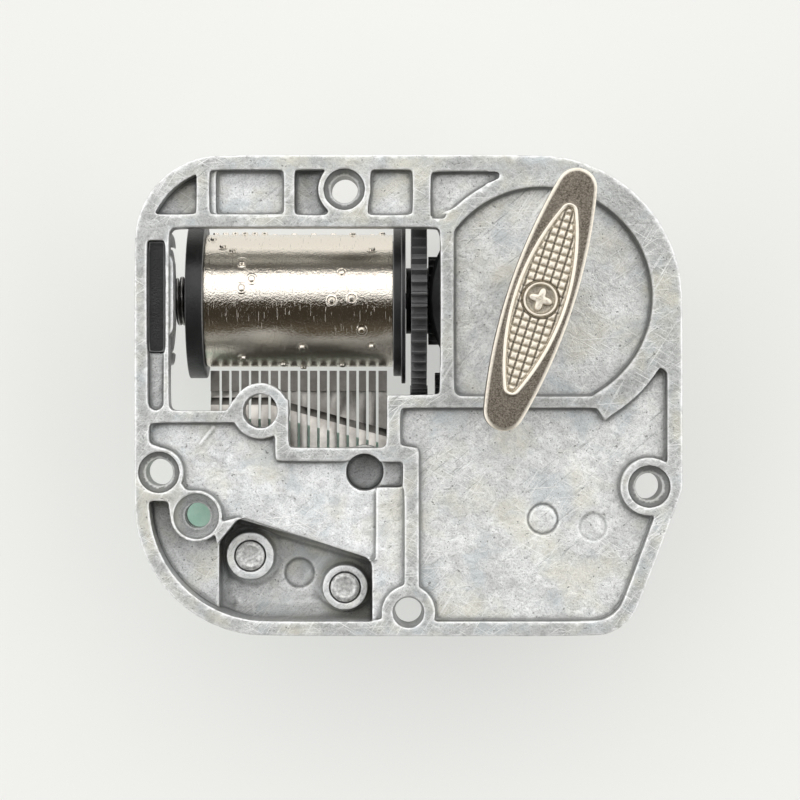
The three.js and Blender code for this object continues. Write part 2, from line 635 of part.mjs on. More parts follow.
/** The fixed housing: a cup for the mainspring, a hub that carries the cylinder's end, and two ears. */
function springHousing() {
  const shell = turned([
    [ARBOR.radius + FIT, CUP.top - 1], [CUP.radius - CUP.wall, CUP.top - 1], [CUP.radius - CUP.wall, 0.65],
    [CUP.radius, 0.65], [CUP.radius, CUP.top - 0.3], [CUP.radius - 0.3, CUP.top], [HUB.radius, CUP.top],
    [HUB.radius, HUB.top - 0.3], [HUB.radius - 0.3, HUB.top], [HUB.bore, HUB.top], [HUB.bore, 8.6],
    [ARBOR.radius + FIT, 8.6], [ARBOR.radius + FIT, CUP.top - 1],
  ], ARBOR.x, ARBOR.y, 36);
  const ears = HOUSING_SCREWS.map(({ x, y }) => {
    const away = Math.atan2(y - ARBOR.y, x - ARBOR.x);
    const across = [3.4 * Math.sin(away), -3.4 * Math.cos(away)];
    const near = [ARBOR.x + 8.9 * Math.cos(away), ARBOR.y + 8.9 * Math.sin(away)];
    const round = arcPoints(x, y, 2.0, away - Math.PI / 2, Math.PI);
    return prism([
      [near[0] + across[0], near[1] + across[1]], ...round, [near[0] - across[0], near[1] - across[1]],
    ], 5.1, CUP.top);
  });
  return joined([shell, ...ears])
    .subtract(joined(HOUSING_SCREWS.map(({ x, y }) => disc(x, y, 1.15, 4, 8))))
    .subtract(barAlongX(AXIS.y, AXIS.z, AXIS.radius + FIT, 4.5, ARBOR.x - HUB.bore + 0.3));
}

function springHousingCover() {
  return turned([
    [ARBOR.radius + FIT, 0], [CUP.radius - 0.2, 0], [CUP.radius, 0.2], [CUP.radius, 0.6], [8.5, 0.6],
    [8.5, 1.1], [7.9, 1.1], [7.9, 0.6], [ARBOR.radius + FIT, 0.6], [ARBOR.radius + FIT, 0],
  ], ARBOR.x, ARBOR.y, 36);
}

function windingArbor() {
  return turned([
    [0, 0.1], [1.1, 0.1], [ARBOR.radius, 0.3], [ARBOR.radius, 1.4], [2.3, 1.4], [2.3, 5.3],
    [ARBOR.radius, 5.3], [ARBOR.radius, 25.2], [0.9, 25.5], [0, 25.5],
  ], ARBOR.x, ARBOR.y, 16);
}

// The key's cast bar sits a little off the middle of its stem.
const KEY = {
  x: ARBOR.x - 0.6, y: ARBOR.y - 0.5, angle: 71.9,
  low: 26.2, high: 29.2, half: 12.15, halfWidth: 3.0, end: 1.85,
};

/** The key's flat bar: a long pointed oval with round ends, seen from above. */
function keyBarOutline(half, halfWidth, end) {
  const reach = half - end;
  const side = (reach ** 2 + halfWidth ** 2 - end ** 2) / (2 * (halfWidth - end));
  const bow = Math.asin(reach / (side - end));
  const points = [
    ...arcPoints(reach, 0, end, bow - Math.PI / 2, Math.PI - 2 * bow),
    ...arcPoints(0, halfWidth - side, side, Math.PI / 2 - bow, 2 * bow).slice(1),
    ...arcPoints(-reach, 0, end, Math.PI / 2 + bow, Math.PI - 2 * bow).slice(1),
    ...arcPoints(0, side - halfWidth, side, -Math.PI / 2 - bow, 2 * bow).slice(1, -1),
  ];
  const turn = THREE.MathUtils.degToRad(KEY.angle);
  return points.map(([u, v]) => [
    KEY.x + u * Math.cos(turn) - v * Math.sin(turn),
    KEY.y + u * Math.sin(turn) + v * Math.cos(turn),
  ]);
}

function windingKey() {
  const bar = prism(keyBarOutline(KEY.half, KEY.halfWidth, KEY.end), KEY.low, KEY.high);
  const recess = prism(keyBarOutline(8.6, 2.15, 0.5), KEY.high - 0.35, KEY.high + 1);
  const medallion = disc(KEY.x, KEY.y, 1.6, KEY.high - 0.5, KEY.high);
  const boss = disc(ARBOR.x, ARBOR.y, 2.5, 24.4, KEY.low + 0.5);
  return joined([bar.subtract(recess), medallion, boss])
    .subtract(disc(ARBOR.x, ARBOR.y, 2.05, 24, 25.9));
}

function keyStem() {
  return turned([
    [ARBOR.radius + 0.1, 20.2], [1.9, 20.2], [1.9, 25.8], [ARBOR.radius + 0.1, 25.8],
    [ARBOR.radius + 0.1, 20.2],
  ], ARBOR.x, ARBOR.y, 20);
}

// ---------------------------------------------------------------- governor

const GOVERNOR = { left: -1.35, right: 5.4, wallFront: -9.5, wallBack: -10.9, shelfLow: 12.7, top: 14.6 };

/** The governor's frame: a foot under the plate, a shelf with two shaft lugs and a wall behind the fly. */
function governorFrame() {
  const foot = prism(outline([
    [GOVERNOR.left, GOVERNOR.wallBack, 0.6], [GOVERNOR.right, GOVERNOR.wallBack], [10.2, -14.2, 2.0],
    [15.2, -14.2, 2.8], [15.2, -8.6, 2.8], [GOVERNOR.right, -7.2, 1.0], [GOVERNOR.right, -0.4, 0.5],
    [4.3, -0.4], [4.3, -3.4, 0.5], [0.4, -3.4, 0.5], [-0.25, -0.4], [GOVERNOR.left, -0.4, 0.5],
  ]), GOVERNOR.shelfLow, GOVERNOR.top);
  const wallShape = rectangle(GOVERNOR.left, GOVERNOR.wallBack, GOVERNOR.right, GOVERNOR.wallFront, 0.4);
  const wall = prism(wallShape, 1.35, 13.5);
  const lugShape = outline([
    [-3.2, 13.5], [-2.3, COUNTER.z - 1.5, 1.0], [0.2, COUNTER.z - 1.5, 1.0], [-0.4, 13.5],
  ]);
  const lugs = [
    prismAlongX(lugShape, GOVERNOR.left, -0.25),
    prismAlongX(lugShape, 4.3, GOVERNOR.right),
  ];
  const pegs = [-0.2, 4.3].map((x) => disc(x, -10.2, 0.45, 0.4, 2));
  const bore = COUNTER.radius + FIT;
  return joined([foot, wall, ...lugs, ...pegs])
    .subtract(barAlongX(COUNTER.y, COUNTER.z, bore, GOVERNOR.left + 0.4, GOVERNOR.right + 1, 16))
    .subtract(disc(FLY.x, FLY.y, FLY.radius + FIT, 12, 13.9))
    .subtract(disc(GOVERNOR_SCREW.x, GOVERNOR_SCREW.y, 1.15, 12, 16));
}

/** The cap that closes the frame over the fly's lower pivot. */
function governorCap() {
  const plate = prism(outline([
    [GOVERNOR.left, GOVERNOR.wallBack, 0.6], [GOVERNOR.right, GOVERNOR.wallBack, 0.6],
    [GOVERNOR.right, -8.4, 1.0], [4.6, -3.6, 1.4], [1.4, -3.6, 1.4], [GOVERNOR.left, -8.4, 1.0],
  ]), 0, 1.3);
  const pegHoles = [-0.2, 4.3].map((x) => disc(x, -10.2, 0.5, 0.3, 2));
  return plate.subtract(joined([...pegHoles, disc(FLY.x, FLY.y, FLY.radius + FIT, 0.5, 2)]));
}

function flySpindle() {
  return turned([
    [0, 0.6], [FLY.radius, 0.6], [FLY.radius, 13.75], [0, 13.75],
  ], FLY.x, FLY.y, 12);
}

/** The two-winged air brake on the fly's spindle. */
function flyWings() {
  const hub = disc(FLY.x, FLY.y, 1.05, 1.7, 5.6);
  const wing = prism(rectangle(FLY.x - 3.9, FLY.y - 0.25, FLY.x + 3.9, FLY.y + 0.25), 1.9, 5.4);
  return hub.add(wing).subtract(disc(FLY.x, FLY.y, FLY.radius + 0.05, 1, 7));
}

// ---------------------------------------------------------------- left bearing

/** The bush that fills the bedplate's slot, rounded below, and carries the cylinder's left end. */
function leftBush() {
  const bush = turnedAlongX([[0, -23.78], [4.9, -23.78], [4.9, -22.25], [0, -22.25]], AXIS.y, AXIS.z, 28);
  const crown = prism(rectangle(-23.78, 3.97, -22.25, 14.08, 0.2), 13.0, 19.8);
  return bush.add(crown).subtract(barAlongX(AXIS.y, AXIS.z, AXIS.radius + FIT, -23.4, -22));
}

// ---------------------------------------------------------------- assembly

place('bedplate', bedplate(), dieCast());
place('left_bearing_bush', leftBush(), blackPlastic());

place('cylinder_drum', drum(), nickel());
place('cylinder_left_cap', leftCap(), blackPlastic());
place('cylinder_right_flange', rightFlange(), blackPlastic());
place('cylinder_gear', cylinderGear(), blackPlastic());
place('cylinder_shaft', barAlongX(AXIS.y, AXIS.z, AXIS.radius, -23.3, 7.4), steel());
place('cylinder_end_spring', cylinderEndSpring(), nickel());

place('comb', comb(), darkSteel());
place('comb_base', combBase(), greenLacquer());
for (const spot of COMB_SCREWS) {
  place(spot.name, screw(spot, { low: 7.6, high: 9.25 }, 2.3, 1.38, 17.5), steel());
}

place('spring_housing', springHousing(), dieCast());
place('spring_housing_cover', springHousingCover(), steel());
place('mainspring', mainspring(), darkSteel());
for (const spot of HOUSING_SCREWS) {
  place(spot.name, screw(spot, { low: 3.6, high: 5.05 }, 1.8, 0.9, 12.2), steel());
}

place('drive_wheel', driveWheel(), greyPlastic());
place('clutch_spring', clutchSpring(), steel());
place('winding_arbor', windingArbor(), steel());
place('key_stem', keyStem(), bronze());
place('winding_key', windingKey(), bronze());

place('governor_frame', governorFrame(), blackPlastic());
place('governor_cap', governorCap(), blackPlastic());
place('governor_screw', screw(GOVERNOR_SCREW, { low: 11.2, high: 12.65 }, 2.0, 0.9, 17.9), steel());
place('governor_wheel', governorWheel(), greyPlastic());
place('governor_shaft', barAlongX(COUNTER.y, COUNTER.z, COUNTER.radius, -0.9, 5.3, 14), steel());
place('governor_worm', governorWorm(), greyPlastic());
place('fly_spindle', flySpindle(), steel());
place('fly_wings', flyWings(), brass());

export default parts;
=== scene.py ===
"""Looks for a small cylinder music movement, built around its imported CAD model.

The object lies with its winding key up. Shapes are made in millimetres in the row frame and scaled
to metres when they become pieces. Castings and mouldings are made from the CAD solids: their facets
are subdivided, remeshed finely and smoothed, so that every edge and corner is softly rounded. Turned
pieces, screws and springs are made from their own sections, at the CAD's sizes.
"""

import json
import math

import bmesh
import bpy
import numpy as np
from mathutils import Matrix, Vector


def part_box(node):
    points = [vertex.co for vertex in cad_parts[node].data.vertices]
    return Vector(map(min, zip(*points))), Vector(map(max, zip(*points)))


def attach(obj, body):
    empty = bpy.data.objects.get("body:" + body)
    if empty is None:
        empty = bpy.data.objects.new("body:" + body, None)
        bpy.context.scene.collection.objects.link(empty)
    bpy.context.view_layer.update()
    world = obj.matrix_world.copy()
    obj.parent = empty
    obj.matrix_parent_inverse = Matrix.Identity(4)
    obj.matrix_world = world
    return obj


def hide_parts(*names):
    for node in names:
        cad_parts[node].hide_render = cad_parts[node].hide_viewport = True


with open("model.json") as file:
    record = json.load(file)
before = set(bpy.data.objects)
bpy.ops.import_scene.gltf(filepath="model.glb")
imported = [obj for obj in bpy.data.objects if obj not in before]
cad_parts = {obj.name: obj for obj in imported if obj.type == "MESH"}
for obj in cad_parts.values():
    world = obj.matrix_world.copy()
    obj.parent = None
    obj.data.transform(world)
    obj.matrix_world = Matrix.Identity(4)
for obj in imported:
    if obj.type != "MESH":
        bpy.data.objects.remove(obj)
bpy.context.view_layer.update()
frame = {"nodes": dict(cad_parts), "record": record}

MM = 0.001
RECORD = frame["record"]
BODY_OF = {n: body for body, nodes in RECORD["behaviour"]["bodies"].items() for n in nodes}
SLOT_OF = {part["node"]: part["material_slot"] for part in RECORD["subparts"]}

# The line where the thin part of the comb's teeth ends, from its left end to its right end, in X, Y.
ROOT_LINE = [(-19.6, -0.17), (-13.0, -0.17), (-1.0, -3.46)]
THIN_Z, TIP_STEP_Y, SLOPE = 11.1, 0.4, 0.7


def box_mm(node):
    """(lowest corner, highest corner) of a CAD node, in millimetres."""
    low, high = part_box(node)
    return low / MM, high / MM


RIM = box_mm("bedplate")[1].z


# ------------------------------------------------------------------ node materials


class Shader:
    """A material whose Principled node is fed by small procedural networks in object coordinates."""

    def __init__(self, name, metallic=0.0, roughness=0.5, **sockets):
        self.material = bpy.data.materials.new(name)
        self.material.use_nodes = True
        self.tree = self.material.node_tree
        self.surface = self.tree.nodes["Principled BSDF"]
        self.surface.inputs["Metallic"].default_value = metallic
        self.surface.inputs["Roughness"].default_value = roughness
        for socket, value in sockets.items():
            self.surface.inputs[socket.replace("_", " ")].default_value = value
        self.place = self.tree.nodes.new("ShaderNodeTexCoord").outputs["Object"]

    def node(self, kind, inputs=(), **settings):
        made = self.tree.nodes.new(kind)
        for key, value in settings.items():
            setattr(made, key, value)
        for key, value in dict(inputs).items():
            self.feed(made.inputs[key], value)
        return made

    def feed(self, socket, value):
        if isinstance(value, bpy.types.NodeSocket):
            self.tree.links.new(value, socket)
        else:
            socket.default_value = value

    def turned_place(self, degrees, sizes):
        """Object coordinates turned about Z, with one unit along each axis for sizes in millimetres."""
        inputs = {
            "Vector": self.place,
            "Rotation": (0, 0, math.radians(degrees)),
            "Scale": [size * MM for size in sizes],
        }
        return self.node("ShaderNodeMapping", inputs, vector_type="TEXTURE").outputs["Vector"]

    def noise(self, size, detail=3.0, rough=0.55, distortion=0.0, place=None):
        """Smooth noise from 0 to 1 whose blobs are about size millimetres across."""
        scale = 1.0 / size
        if place is None:
            place, scale = self.place, scale / MM
        inputs = {
            "Vector": place, "Scale": scale, "Detail": detail, "Roughness": rough, "Distortion": distortion,
        }
        return self.node("ShaderNodeTexNoise", inputs).outputs["Fac"]

    def streaks(self, degrees, length, width):
        """Noise in narrow streaks of a length and width in millimetres, lying at degrees from X."""
        place = self.turned_place(degrees, (length, width, length))
        return self.noise(1.0, detail=2.0, rough=0.5, place=place)

    def cells(self, size):
        """Crystal-like cells about size millimetres across."""
        inputs = {"Vector": self.place, "Scale": 1.0 / (size * MM)}
        return self.node("ShaderNodeTexVoronoi", inputs).outputs["Distance"]

    def remap(self, value, low, high, to_low=0.0, to_high=1.0):
        inputs = {"Value": value, "From Min": low, "From Max": high, "To Min": to_low, "To Max": to_high}
        return self.node("ShaderNodeMapRange", inputs, clamp=True).outputs["Result"]

    def maths(self, operation, a, b):
        return self.node("ShaderNodeMath", {0: a, 1: b}, operation=operation).outputs["Value"]

    def axes(self):
        """Object coordinates taken apart, in metres."""
        return self.node("ShaderNodeSeparateXYZ", {"Vector": self.place}).outputs

    def mix(self, share, a, b, blend="MIX"):
        made = self.node("ShaderNodeMix", {"Factor": share}, data_type="RGBA", blend_type=blend)
        for socket, value in ((made.inputs[6], a), (made.inputs[7], b)):
            if isinstance(value, tuple):
                value = (*value, 1.0)
            self.feed(socket, value)
        return made.outputs[2]

    def shaded(self, colour, factor):
        """A colour multiplied by a factor."""
        return self.mix(1.0, colour, factor, "MULTIPLY")

    def attribute(self, name):
        """A mark stored at the mesh's points."""
        return self.node("ShaderNodeAttribute", attribute_name=name).outputs["Fac"]

    def colour(self, value):
        self.feed(self.surface.inputs["Base Color"], value)

    def roughness(self, value):
        self.feed(self.surface.inputs["Roughness"], value)

    def bump(self, height, depth):
        """Raises the surface by height times depth millimetres."""
        inputs = {"Height": height, "Distance": depth * MM, "Strength": 1.0}
        previous = self.surface.inputs["Normal"]
        if previous.is_linked:
            inputs["Normal"] = previous.links[0].from_socket
        self.feed(previous, self.node("ShaderNodeBump", inputs).outputs["Normal"])


def die_cast_zinc():
    """Bare zinc casting: pale floors, a duller rim, fine scratches and bright rubbed edges, with painted
    shade on its walls, in its crevices and in its countersinks, and a painted highlight on the countersinks'
    lips.
    """
    m = Shader("die_cast_zinc", metallic=0.45, roughness=0.4)
    apart = m.axes()
    clouds = m.noise(5.0, detail=6.0, rough=0.6, distortion=0.3)
    grain = m.noise(0.16, detail=3.0, rough=0.7)
    blotches = m.noise(0.9, detail=6.0, rough=0.62, distortion=0.6)
    burnished = m.remap(m.maths("ADD", apart["X"], m.maths("MULTIPLY", clouds, 8 * MM)), 0.0, 8 * MM)
    floor_tone = m.mix(burnished, (0.95, 0.965, 0.96), (0.91, 0.92, 0.90))
    floor_tone = m.mix(m.remap(apart["Z"], 17.2 * MM, 19.0 * MM), (0.84, 0.85, 0.84), floor_tone)
    skin = m.mix(m.remap(apart["Z"], (RIM - 0.7) * MM, (RIM - 0.3) * MM), floor_tone, (0.61, 0.62, 0.60))
    skin = m.shaded(skin, m.remap(clouds, 0.32, 0.68, 0.80, 1.08))
    skin = m.shaded(skin, m.remap(blotches, 0.32, 0.68, 0.78, 1.10))
    skin = m.shaded(skin, m.remap(grain, 0.30, 0.54, 0.62, 1.04))
    warm = m.remap(m.noise(4.5, detail=3.0), 0.50, 0.66, 0.0, 0.55)
    skin = m.mix(warm, skin, (0.76, 0.73, 0.61))
    cool = m.remap(m.noise(3.4, detail=4.0, distortion=0.4), 0.53, 0.66, 0.0, 0.55)
    skin = m.mix(cool, skin, (0.56, 0.61, 0.63))
    field = m.remap(m.noise(6.0, detail=2.0), 0.42, 0.60, 0.12, 1.0)
    hatching = None
    for degrees, length, width in ((33, 5.0, 0.14), (-30, 4.0, 0.12), (58, 6.0, 0.16), (4, 5.0, 0.13)):
        line = m.remap(m.streaks(degrees, length, width), 0.60, 0.72)
        hatching = line if hatching is None else m.maths("MAXIMUM", hatching, line)
    hatching = m.maths("MULTIPLY", hatching, field)
    skin = m.mix(m.maths("MULTIPLY", hatching, 0.75), skin, (1.0, 1.0, 0.98))
    gouges = m.maths("MULTIPLY", m.remap(m.streaks(40, 3.5, 0.16), 0.62, 0.72), field)
    skin = m.mix(m.maths("MULTIPLY", gouges, 0.5), skin, (0.26, 0.265, 0.26))
    pits = m.remap(m.noise(0.3, detail=1.0), 0.70, 0.76)
    skin = m.mix(m.maths("MULTIPLY", pits, 0.7), skin, (0.20, 0.20, 0.19))
    # Lighter edges: rubbed wear, plus a painted highlight on the countersinks' lips.
    patchy = m.remap(blotches, 0.36, 0.56, 0.35, 1.0)
    bright_edges = m.maths("MULTIPLY", m.remap(m.attribute("edge"), 0.1, 0.6), patchy)
    skin = m.mix(m.maths("MULTIPLY", bright_edges, 0.8), skin, (0.98, 0.985, 0.975))
    # Painted shade: hollows and the mounting holes' countersinks are coloured darker where shade falls in
    # them.
    crevice_shade = m.remap(m.attribute("crevice_shade"), 0.06, 0.6)
    skin = m.mix(m.maths("MULTIPLY", crevice_shade, 0.8), skin, (0.13, 0.135, 0.13))
    # Painted shade: upright walls are coloured down to half as dark, where shade falls on them.
    m.colour(m.shaded(skin, m.remap(m.attribute("wall"), 0.0, 1.0, 1.0, 0.5)))
    uneven = m.remap(blotches, 0.3, 0.7, 0.34, 0.5)
    m.roughness(m.maths("SUBTRACT", uneven, m.maths("MULTIPLY", bright_edges, 0.12)))
    m.bump(grain, 0.022)
    m.bump(blotches, 0.09)
    m.bump(hatching, 0.012)
    m.bump(gouges, -0.02)
    m.bump(pits, -0.03)
    return m.material


def polished_nickel():
    """Bright nickel over brass, turned: scored partway round in places, hazy and slightly pebbled."""
    m = Shader("polished_nickel", metallic=1.0, roughness=0.13)
    rings = m.noise(1.0, detail=4.0, rough=0.7, place=m.turned_place(0, (0.16, 60.0, 60.0)))
    scores = m.noise(1.0, detail=1.0, rough=0.5, place=m.turned_place(0, (0.07, 1.7, 1.7)))
    scores = m.remap(scores, 0.69, 0.76)
    haze = m.noise(2.6, detail=4.0, rough=0.6)
    pebbles = m.noise(0.2, detail=3.0, rough=0.65)
    specks = m.remap(m.noise(0.2, detail=2.0, rough=0.5), 0.68, 0.75)
    marks = m.maths("MAXIMUM", m.maths("MULTIPLY", scores, 0.6), m.maths("MULTIPLY", specks, 0.5))
    m.colour(m.mix(marks, (0.85, 0.79, 0.70), (0.24, 0.20, 0.14)))
    m.roughness(m.remap(haze, 0.35, 0.7, 0.05, 0.15))
    m.bump(rings, 0.004)
    m.bump(pebbles, 0.03)
    m.bump(haze, 0.05)
    m.bump(scores, 0.008)
    return m.material


def satin_steel():
    """Plain turned or stamped steel, slightly patchy, with brighter edges."""
    m = Shader("satin_steel", metallic=1.0, roughness=0.3)
    tone = m.noise(0.9, detail=5.0, rough=0.65)
    bright_edges = m.remap(m.attribute("edge"), 0.2, 0.9, 0.0, 0.6)
    skin = m.mix(m.remap(tone, 0.3, 0.7), (0.34, 0.33, 0.32), (0.62, 0.61, 0.59))
    m.colour(m.mix(bright_edges, skin, (0.82, 0.81, 0.79)))
    m.roughness(m.remap(tone, 0.3, 0.7, 0.4, 0.24))
    m.bump(m.noise(0.12, detail=3.0), 0.006)
    return m.material


def plated_screw():
    """Dull zinc plate, crystalline on the screw's rough end, with a painted highlight on its chamfer."""
    m = Shader("plated_screw", metallic=0.55, roughness=0.42)
    crystals = m.cells(0.3)
    tone = m.noise(0.35, detail=5.0, rough=0.7)
    skin = m.mix(m.remap(tone, 0.34, 0.62), (0.34, 0.34, 0.33), (0.80, 0.80, 0.78))
    # Painted highlight: the chamfer is coloured nearly white.
    m.colour(m.mix(m.remap(m.attribute("edge"), 0.2, 0.9, 0.0, 0.7), skin, (0.93, 0.93, 0.90)))
    m.roughness(m.remap(tone, 0.3, 0.7, 0.5, 0.3))
    m.bump(crystals, 0.03)
    m.bump(tone, 0.03)
    return m.material


def comb_steel():
    """Ground spring steel: grey-brown, darker at the tooth tips, with painted shade on the slope behind the
    thin part.
    """
    m = Shader("comb_steel", metallic=1.0, roughness=0.34)
    grinding = m.noise(1.0, detail=3.0, rough=0.6, place=m.turned_place(0, (0.07, 6.0, 0.5)))
    clouds = m.noise(2.2, detail=5.0, rough=0.6)
    apart = m.axes()
    (bend_x, bend_y), (end_x, end_y) = ROOT_LINE[1:]
    fall = (bend_y - end_y) / (end_x - bend_x)
    slant = m.maths("MULTIPLY", m.maths("ADD", apart["X"], -bend_x * MM), fall)
    past_root = m.maths("ADD", m.maths("ADD", apart["Y"], -bend_y * MM), m.maths("MAXIMUM", slant, 0.0))
    before_root = m.remap(past_root, -(SLOPE + 0.02) * MM, -(SLOPE - 0.04) * MM)
    slope = m.maths("MULTIPLY", before_root, m.remap(past_root, -0.03 * MM, 0.03 * MM, 1.0, 0.0))
    skin = m.mix(m.remap(clouds, 0.35, 0.65), (0.34, 0.32, 0.295), (0.58, 0.555, 0.52))
    tips = m.remap(apart["Y"], (TIP_STEP_Y - 0.05) * MM, (TIP_STEP_Y + 0.05) * MM, 0.0, 0.55)
    skin = m.mix(tips, skin, (0.09, 0.08, 0.07))
    # Painted shade: the slope up to the thick root is coloured near black, as the shadow of the step.
    m.colour(m.mix(m.maths("MULTIPLY", slope, 0.85), skin, (0.045, 0.042, 0.038)))
    m.roughness(m.remap(clouds, 0.3, 0.7, 0.46, 0.34))
    m.bump(grinding, 0.008)
    return m.material


def moulded_plastic(name, base, roughness_range):
    """Satin moulded acetal with slight flow marks, dust, dull patches, and a painted highlight along its
    edges, which are also shinier.
    """
    m = Shader(name, metallic=0.0, roughness=0.42)
    pebbles = m.noise(0.2, detail=3.0, rough=0.6)
    flow = m.noise(2.4, detail=4.0, rough=0.6)
    dust = m.remap(m.noise(0.22, detail=3.0, rough=0.7), 0.68, 0.78, 0.0, 0.5)
    lighter = tuple(c * 1.6 + 0.01 for c in base)
    skin = m.mix(m.remap(flow, 0.35, 0.7), base, lighter)
    # Painted highlight: edges are coloured much lighter than the plastic, as a glint along them.
    bright_edges = m.remap(m.attribute("edge"), 0.35, 0.9, 0.0, 0.8)
    skin = m.mix(bright_edges, skin, tuple(c * 2.2 + 0.45 for c in base))
    m.colour(m.mix(dust, skin, (0.16, 0.16, 0.155)))
    dull = m.remap(flow, 0.3, 0.7, *roughness_range)
    m.roughness(m.maths("SUBTRACT", dull, m.maths("MULTIPLY", bright_edges, 0.25)))
    m.bump(pebbles, 0.035)
    return m.material


def green_lacquer():
    """Brushed-on mint green lacquer, faintly streaked."""
    m = Shader("green_lacquer", metallic=0.0, roughness=0.34, Coat_Weight=0.25, Coat_Roughness=0.25)
    streaks = m.noise(1.0, detail=4.0, rough=0.6, place=m.turned_place(62, (0.25, 3.0, 3.0)))
    clouds = m.noise(1.6, detail=4.0, rough=0.6)
    skin = m.mix(m.remap(clouds, 0.35, 0.65), (0.51, 0.82, 0.67), (0.66, 0.94, 0.80))
    m.colour(m.mix(m.remap(streaks, 0.55, 0.75, 0.0, 0.35), skin, (0.70, 0.92, 0.82)))
    m.roughness(m.remap(clouds, 0.3, 0.7, 0.28, 0.45))
    m.bump(streaks, 0.01)
    return m.material


def sheet_brass():
    """Plain sheet brass, slightly tarnished in places."""
    m = Shader("sheet_brass", metallic=1.0, roughness=0.28)
    tone = m.noise(1.2, detail=4.0, rough=0.6)
    m.colour(m.mix(m.remap(tone, 0.35, 0.65), (0.55, 0.40, 0.18), (0.78, 0.62, 0.34)))
    m.roughness(m.remap(tone, 0.3, 0.7, 0.22, 0.38))
    m.bump(m.noise(0.15, detail=3.0), 0.006)
    return m.material


def antique_key_metal():
    """Antique nickel over bronze: brown-grey, speckled and dark in grooves, with painted shade on its walls
    and light edges that are partly wear and partly a painted highlight.
    """
    m = Shader("antique_key_metal", metallic=0.9, roughness=0.4)
    specks = m.noise(0.13, detail=4.0, rough=0.75)
    clouds = m.noise(1.4, detail=4.0, rough=0.6)
    skin = m.mix(m.remap(specks, 0.38, 0.62), (0.07, 0.057, 0.043), (0.33, 0.29, 0.235))
    skin = m.mix(m.remap(clouds, 0.45, 0.7, 0.0, 0.4), skin, (0.26, 0.23, 0.19))
    tarnished = m.mix(m.remap(specks, 0.35, 0.6), (0.40, 0.35, 0.27), (0.88, 0.80, 0.66))
    panel = m.attribute("panel")
    skin = m.mix(panel, skin, tarnished)
    # Painted shade: the key's upright walls are coloured dark.
    skin = m.mix(m.attribute("wall"), skin, (0.10, 0.083, 0.062))
    # Lighter edges: wear of the antique finish, and a painted highlight.
    bright_edges = m.remap(m.attribute("edge"), m.remap(panel, 0.0, 1.0, 0.24, 0.1), 0.6)
    skin = m.mix(m.maths("MULTIPLY", bright_edges, 0.9), skin, (0.97, 0.90, 0.78))
    m.colour(m.mix(m.attribute("groove"), skin, (0.055, 0.045, 0.032)))
    m.roughness(m.remap(specks, 0.3, 0.7, 0.5, 0.34))
    m.bump(specks, 0.022)
    return m.material


MATERIALS = {
    "die_cast_zinc": die_cast_zinc(),
    "nickel_plate": polished_nickel(),
    "antique_key": antique_key_metal(),
    "steel": satin_steel(),
    "comb_steel": comb_steel(),
    "green_lacquer": green_lacquer(),
    "black_plastic": moulded_plastic("black_plastic", (0.008, 0.008, 0.0085), (0.42, 0.3)),
    "grey_plastic": moulded_plastic("grey_plastic", (0.016, 0.0165, 0.018), (0.48, 0.34)),
    "brass": sheet_brass(),
}


# ------------------------------------------------------------------ meshes in millimetres


def new_object(name, mesh):
    """A new object in the scene."""
    made = bpy.data.objects.new(name, mesh)
    bpy.context.scene.collection.objects.link(made)
    return made


def mesh_from(name, points, faces):
    mesh = bpy.data.meshes.new(name)
    mesh.from_pydata([tuple(p) for p in points], [], [tuple(f) for f in faces])
    mesh.update()
    return mesh


def applied(obj):
    """Applies every modifier of a millimetre object."""
    graph = bpy.context.evaluated_depsgraph_get()
    mesh = bpy.data.meshes.new_from_object(obj.evaluated_get(graph))
    obj.modifiers.clear()
    old = obj.data
    obj.data = mesh
    bpy.data.meshes.remove(old)
    return obj


def modify(obj, kind, **settings):
    """Adds a modifier."""
    modifier = obj.modifiers.new(kind.lower(), kind)
    for key, value in settings.items():
        setattr(modifier, key, value)


# Edges that turn by more than SHARP are corners. Turned pieces stay smooth up to ROUNDED.
SHARP, ROUNDED = math.radians(38), math.radians(50)
# Faces within FLAT of each other are one face, and points within WELD millimetres are one point.
FLAT, WELD = math.radians(1.0), 0.002
# Face turns of FULL_TURN radians or more get a full edge mark.
FULL_TURN = 0.9
# Castings are uneven in waves about this long, in millimetres.
WAVE_LENGTH = 1.1


def cad_copy(node, name):
    """A welded copy of a CAD node in millimetres, with its flat regions and wall strips as quads."""
    points = np.array([v.co for v in frame["nodes"][node].data.vertices]) / MM
    faces = [tuple(p.vertices) for p in frame["nodes"][node].data.polygons]
    obj = new_object(name, mesh_from(name, points, faces))
    bm = bmesh.new()
    bm.from_mesh(obj.data)
    bmesh.ops.remove_doubles(bm, verts=bm.verts, dist=WELD)
    bmesh.ops.join_triangles(bm, faces=bm.faces, angle_face_threshold=FLAT, angle_shape_threshold=math.pi)
    bm.to_mesh(obj.data)
    bm.free()
    return obj


def crease_sharp_edges(obj):
    """Sharp edges stay where they are under subdivision, while faceted round walls become round."""
    bm = bmesh.new()
    bm.from_mesh(obj.data)
    layer = bm.edges.layers.float.new("crease_edge")
    for edge in bm.edges:
        if len(edge.link_faces) != 2 or edge.calc_face_angle(0.0) > SHARP:
            edge[layer] = 1.0
    bm.to_mesh(obj.data)
    bm.free()


def rows_of(mesh, name="co"):
    """The vertices' places, or another of their vectors, as an array with a row for each."""
    values = np.empty(len(mesh.vertices) * 3)
    mesh.vertices.foreach_get(name, values)
    return values.reshape(-1, 3)


def move_points(mesh, points):
    """Moves the vertices to new places."""
    mesh.vertices.foreach_set("co", points.ravel())
    mesh.update()


def store_mark(mesh, name, values):
    """Stores a number from 0 to 1 at each vertex, which materials read by its name."""
    layer = mesh.attributes.new(name, "FLOAT", "POINT")
    layer.data.foreach_set("value", np.clip(values, 0, 1).astype(np.float32))


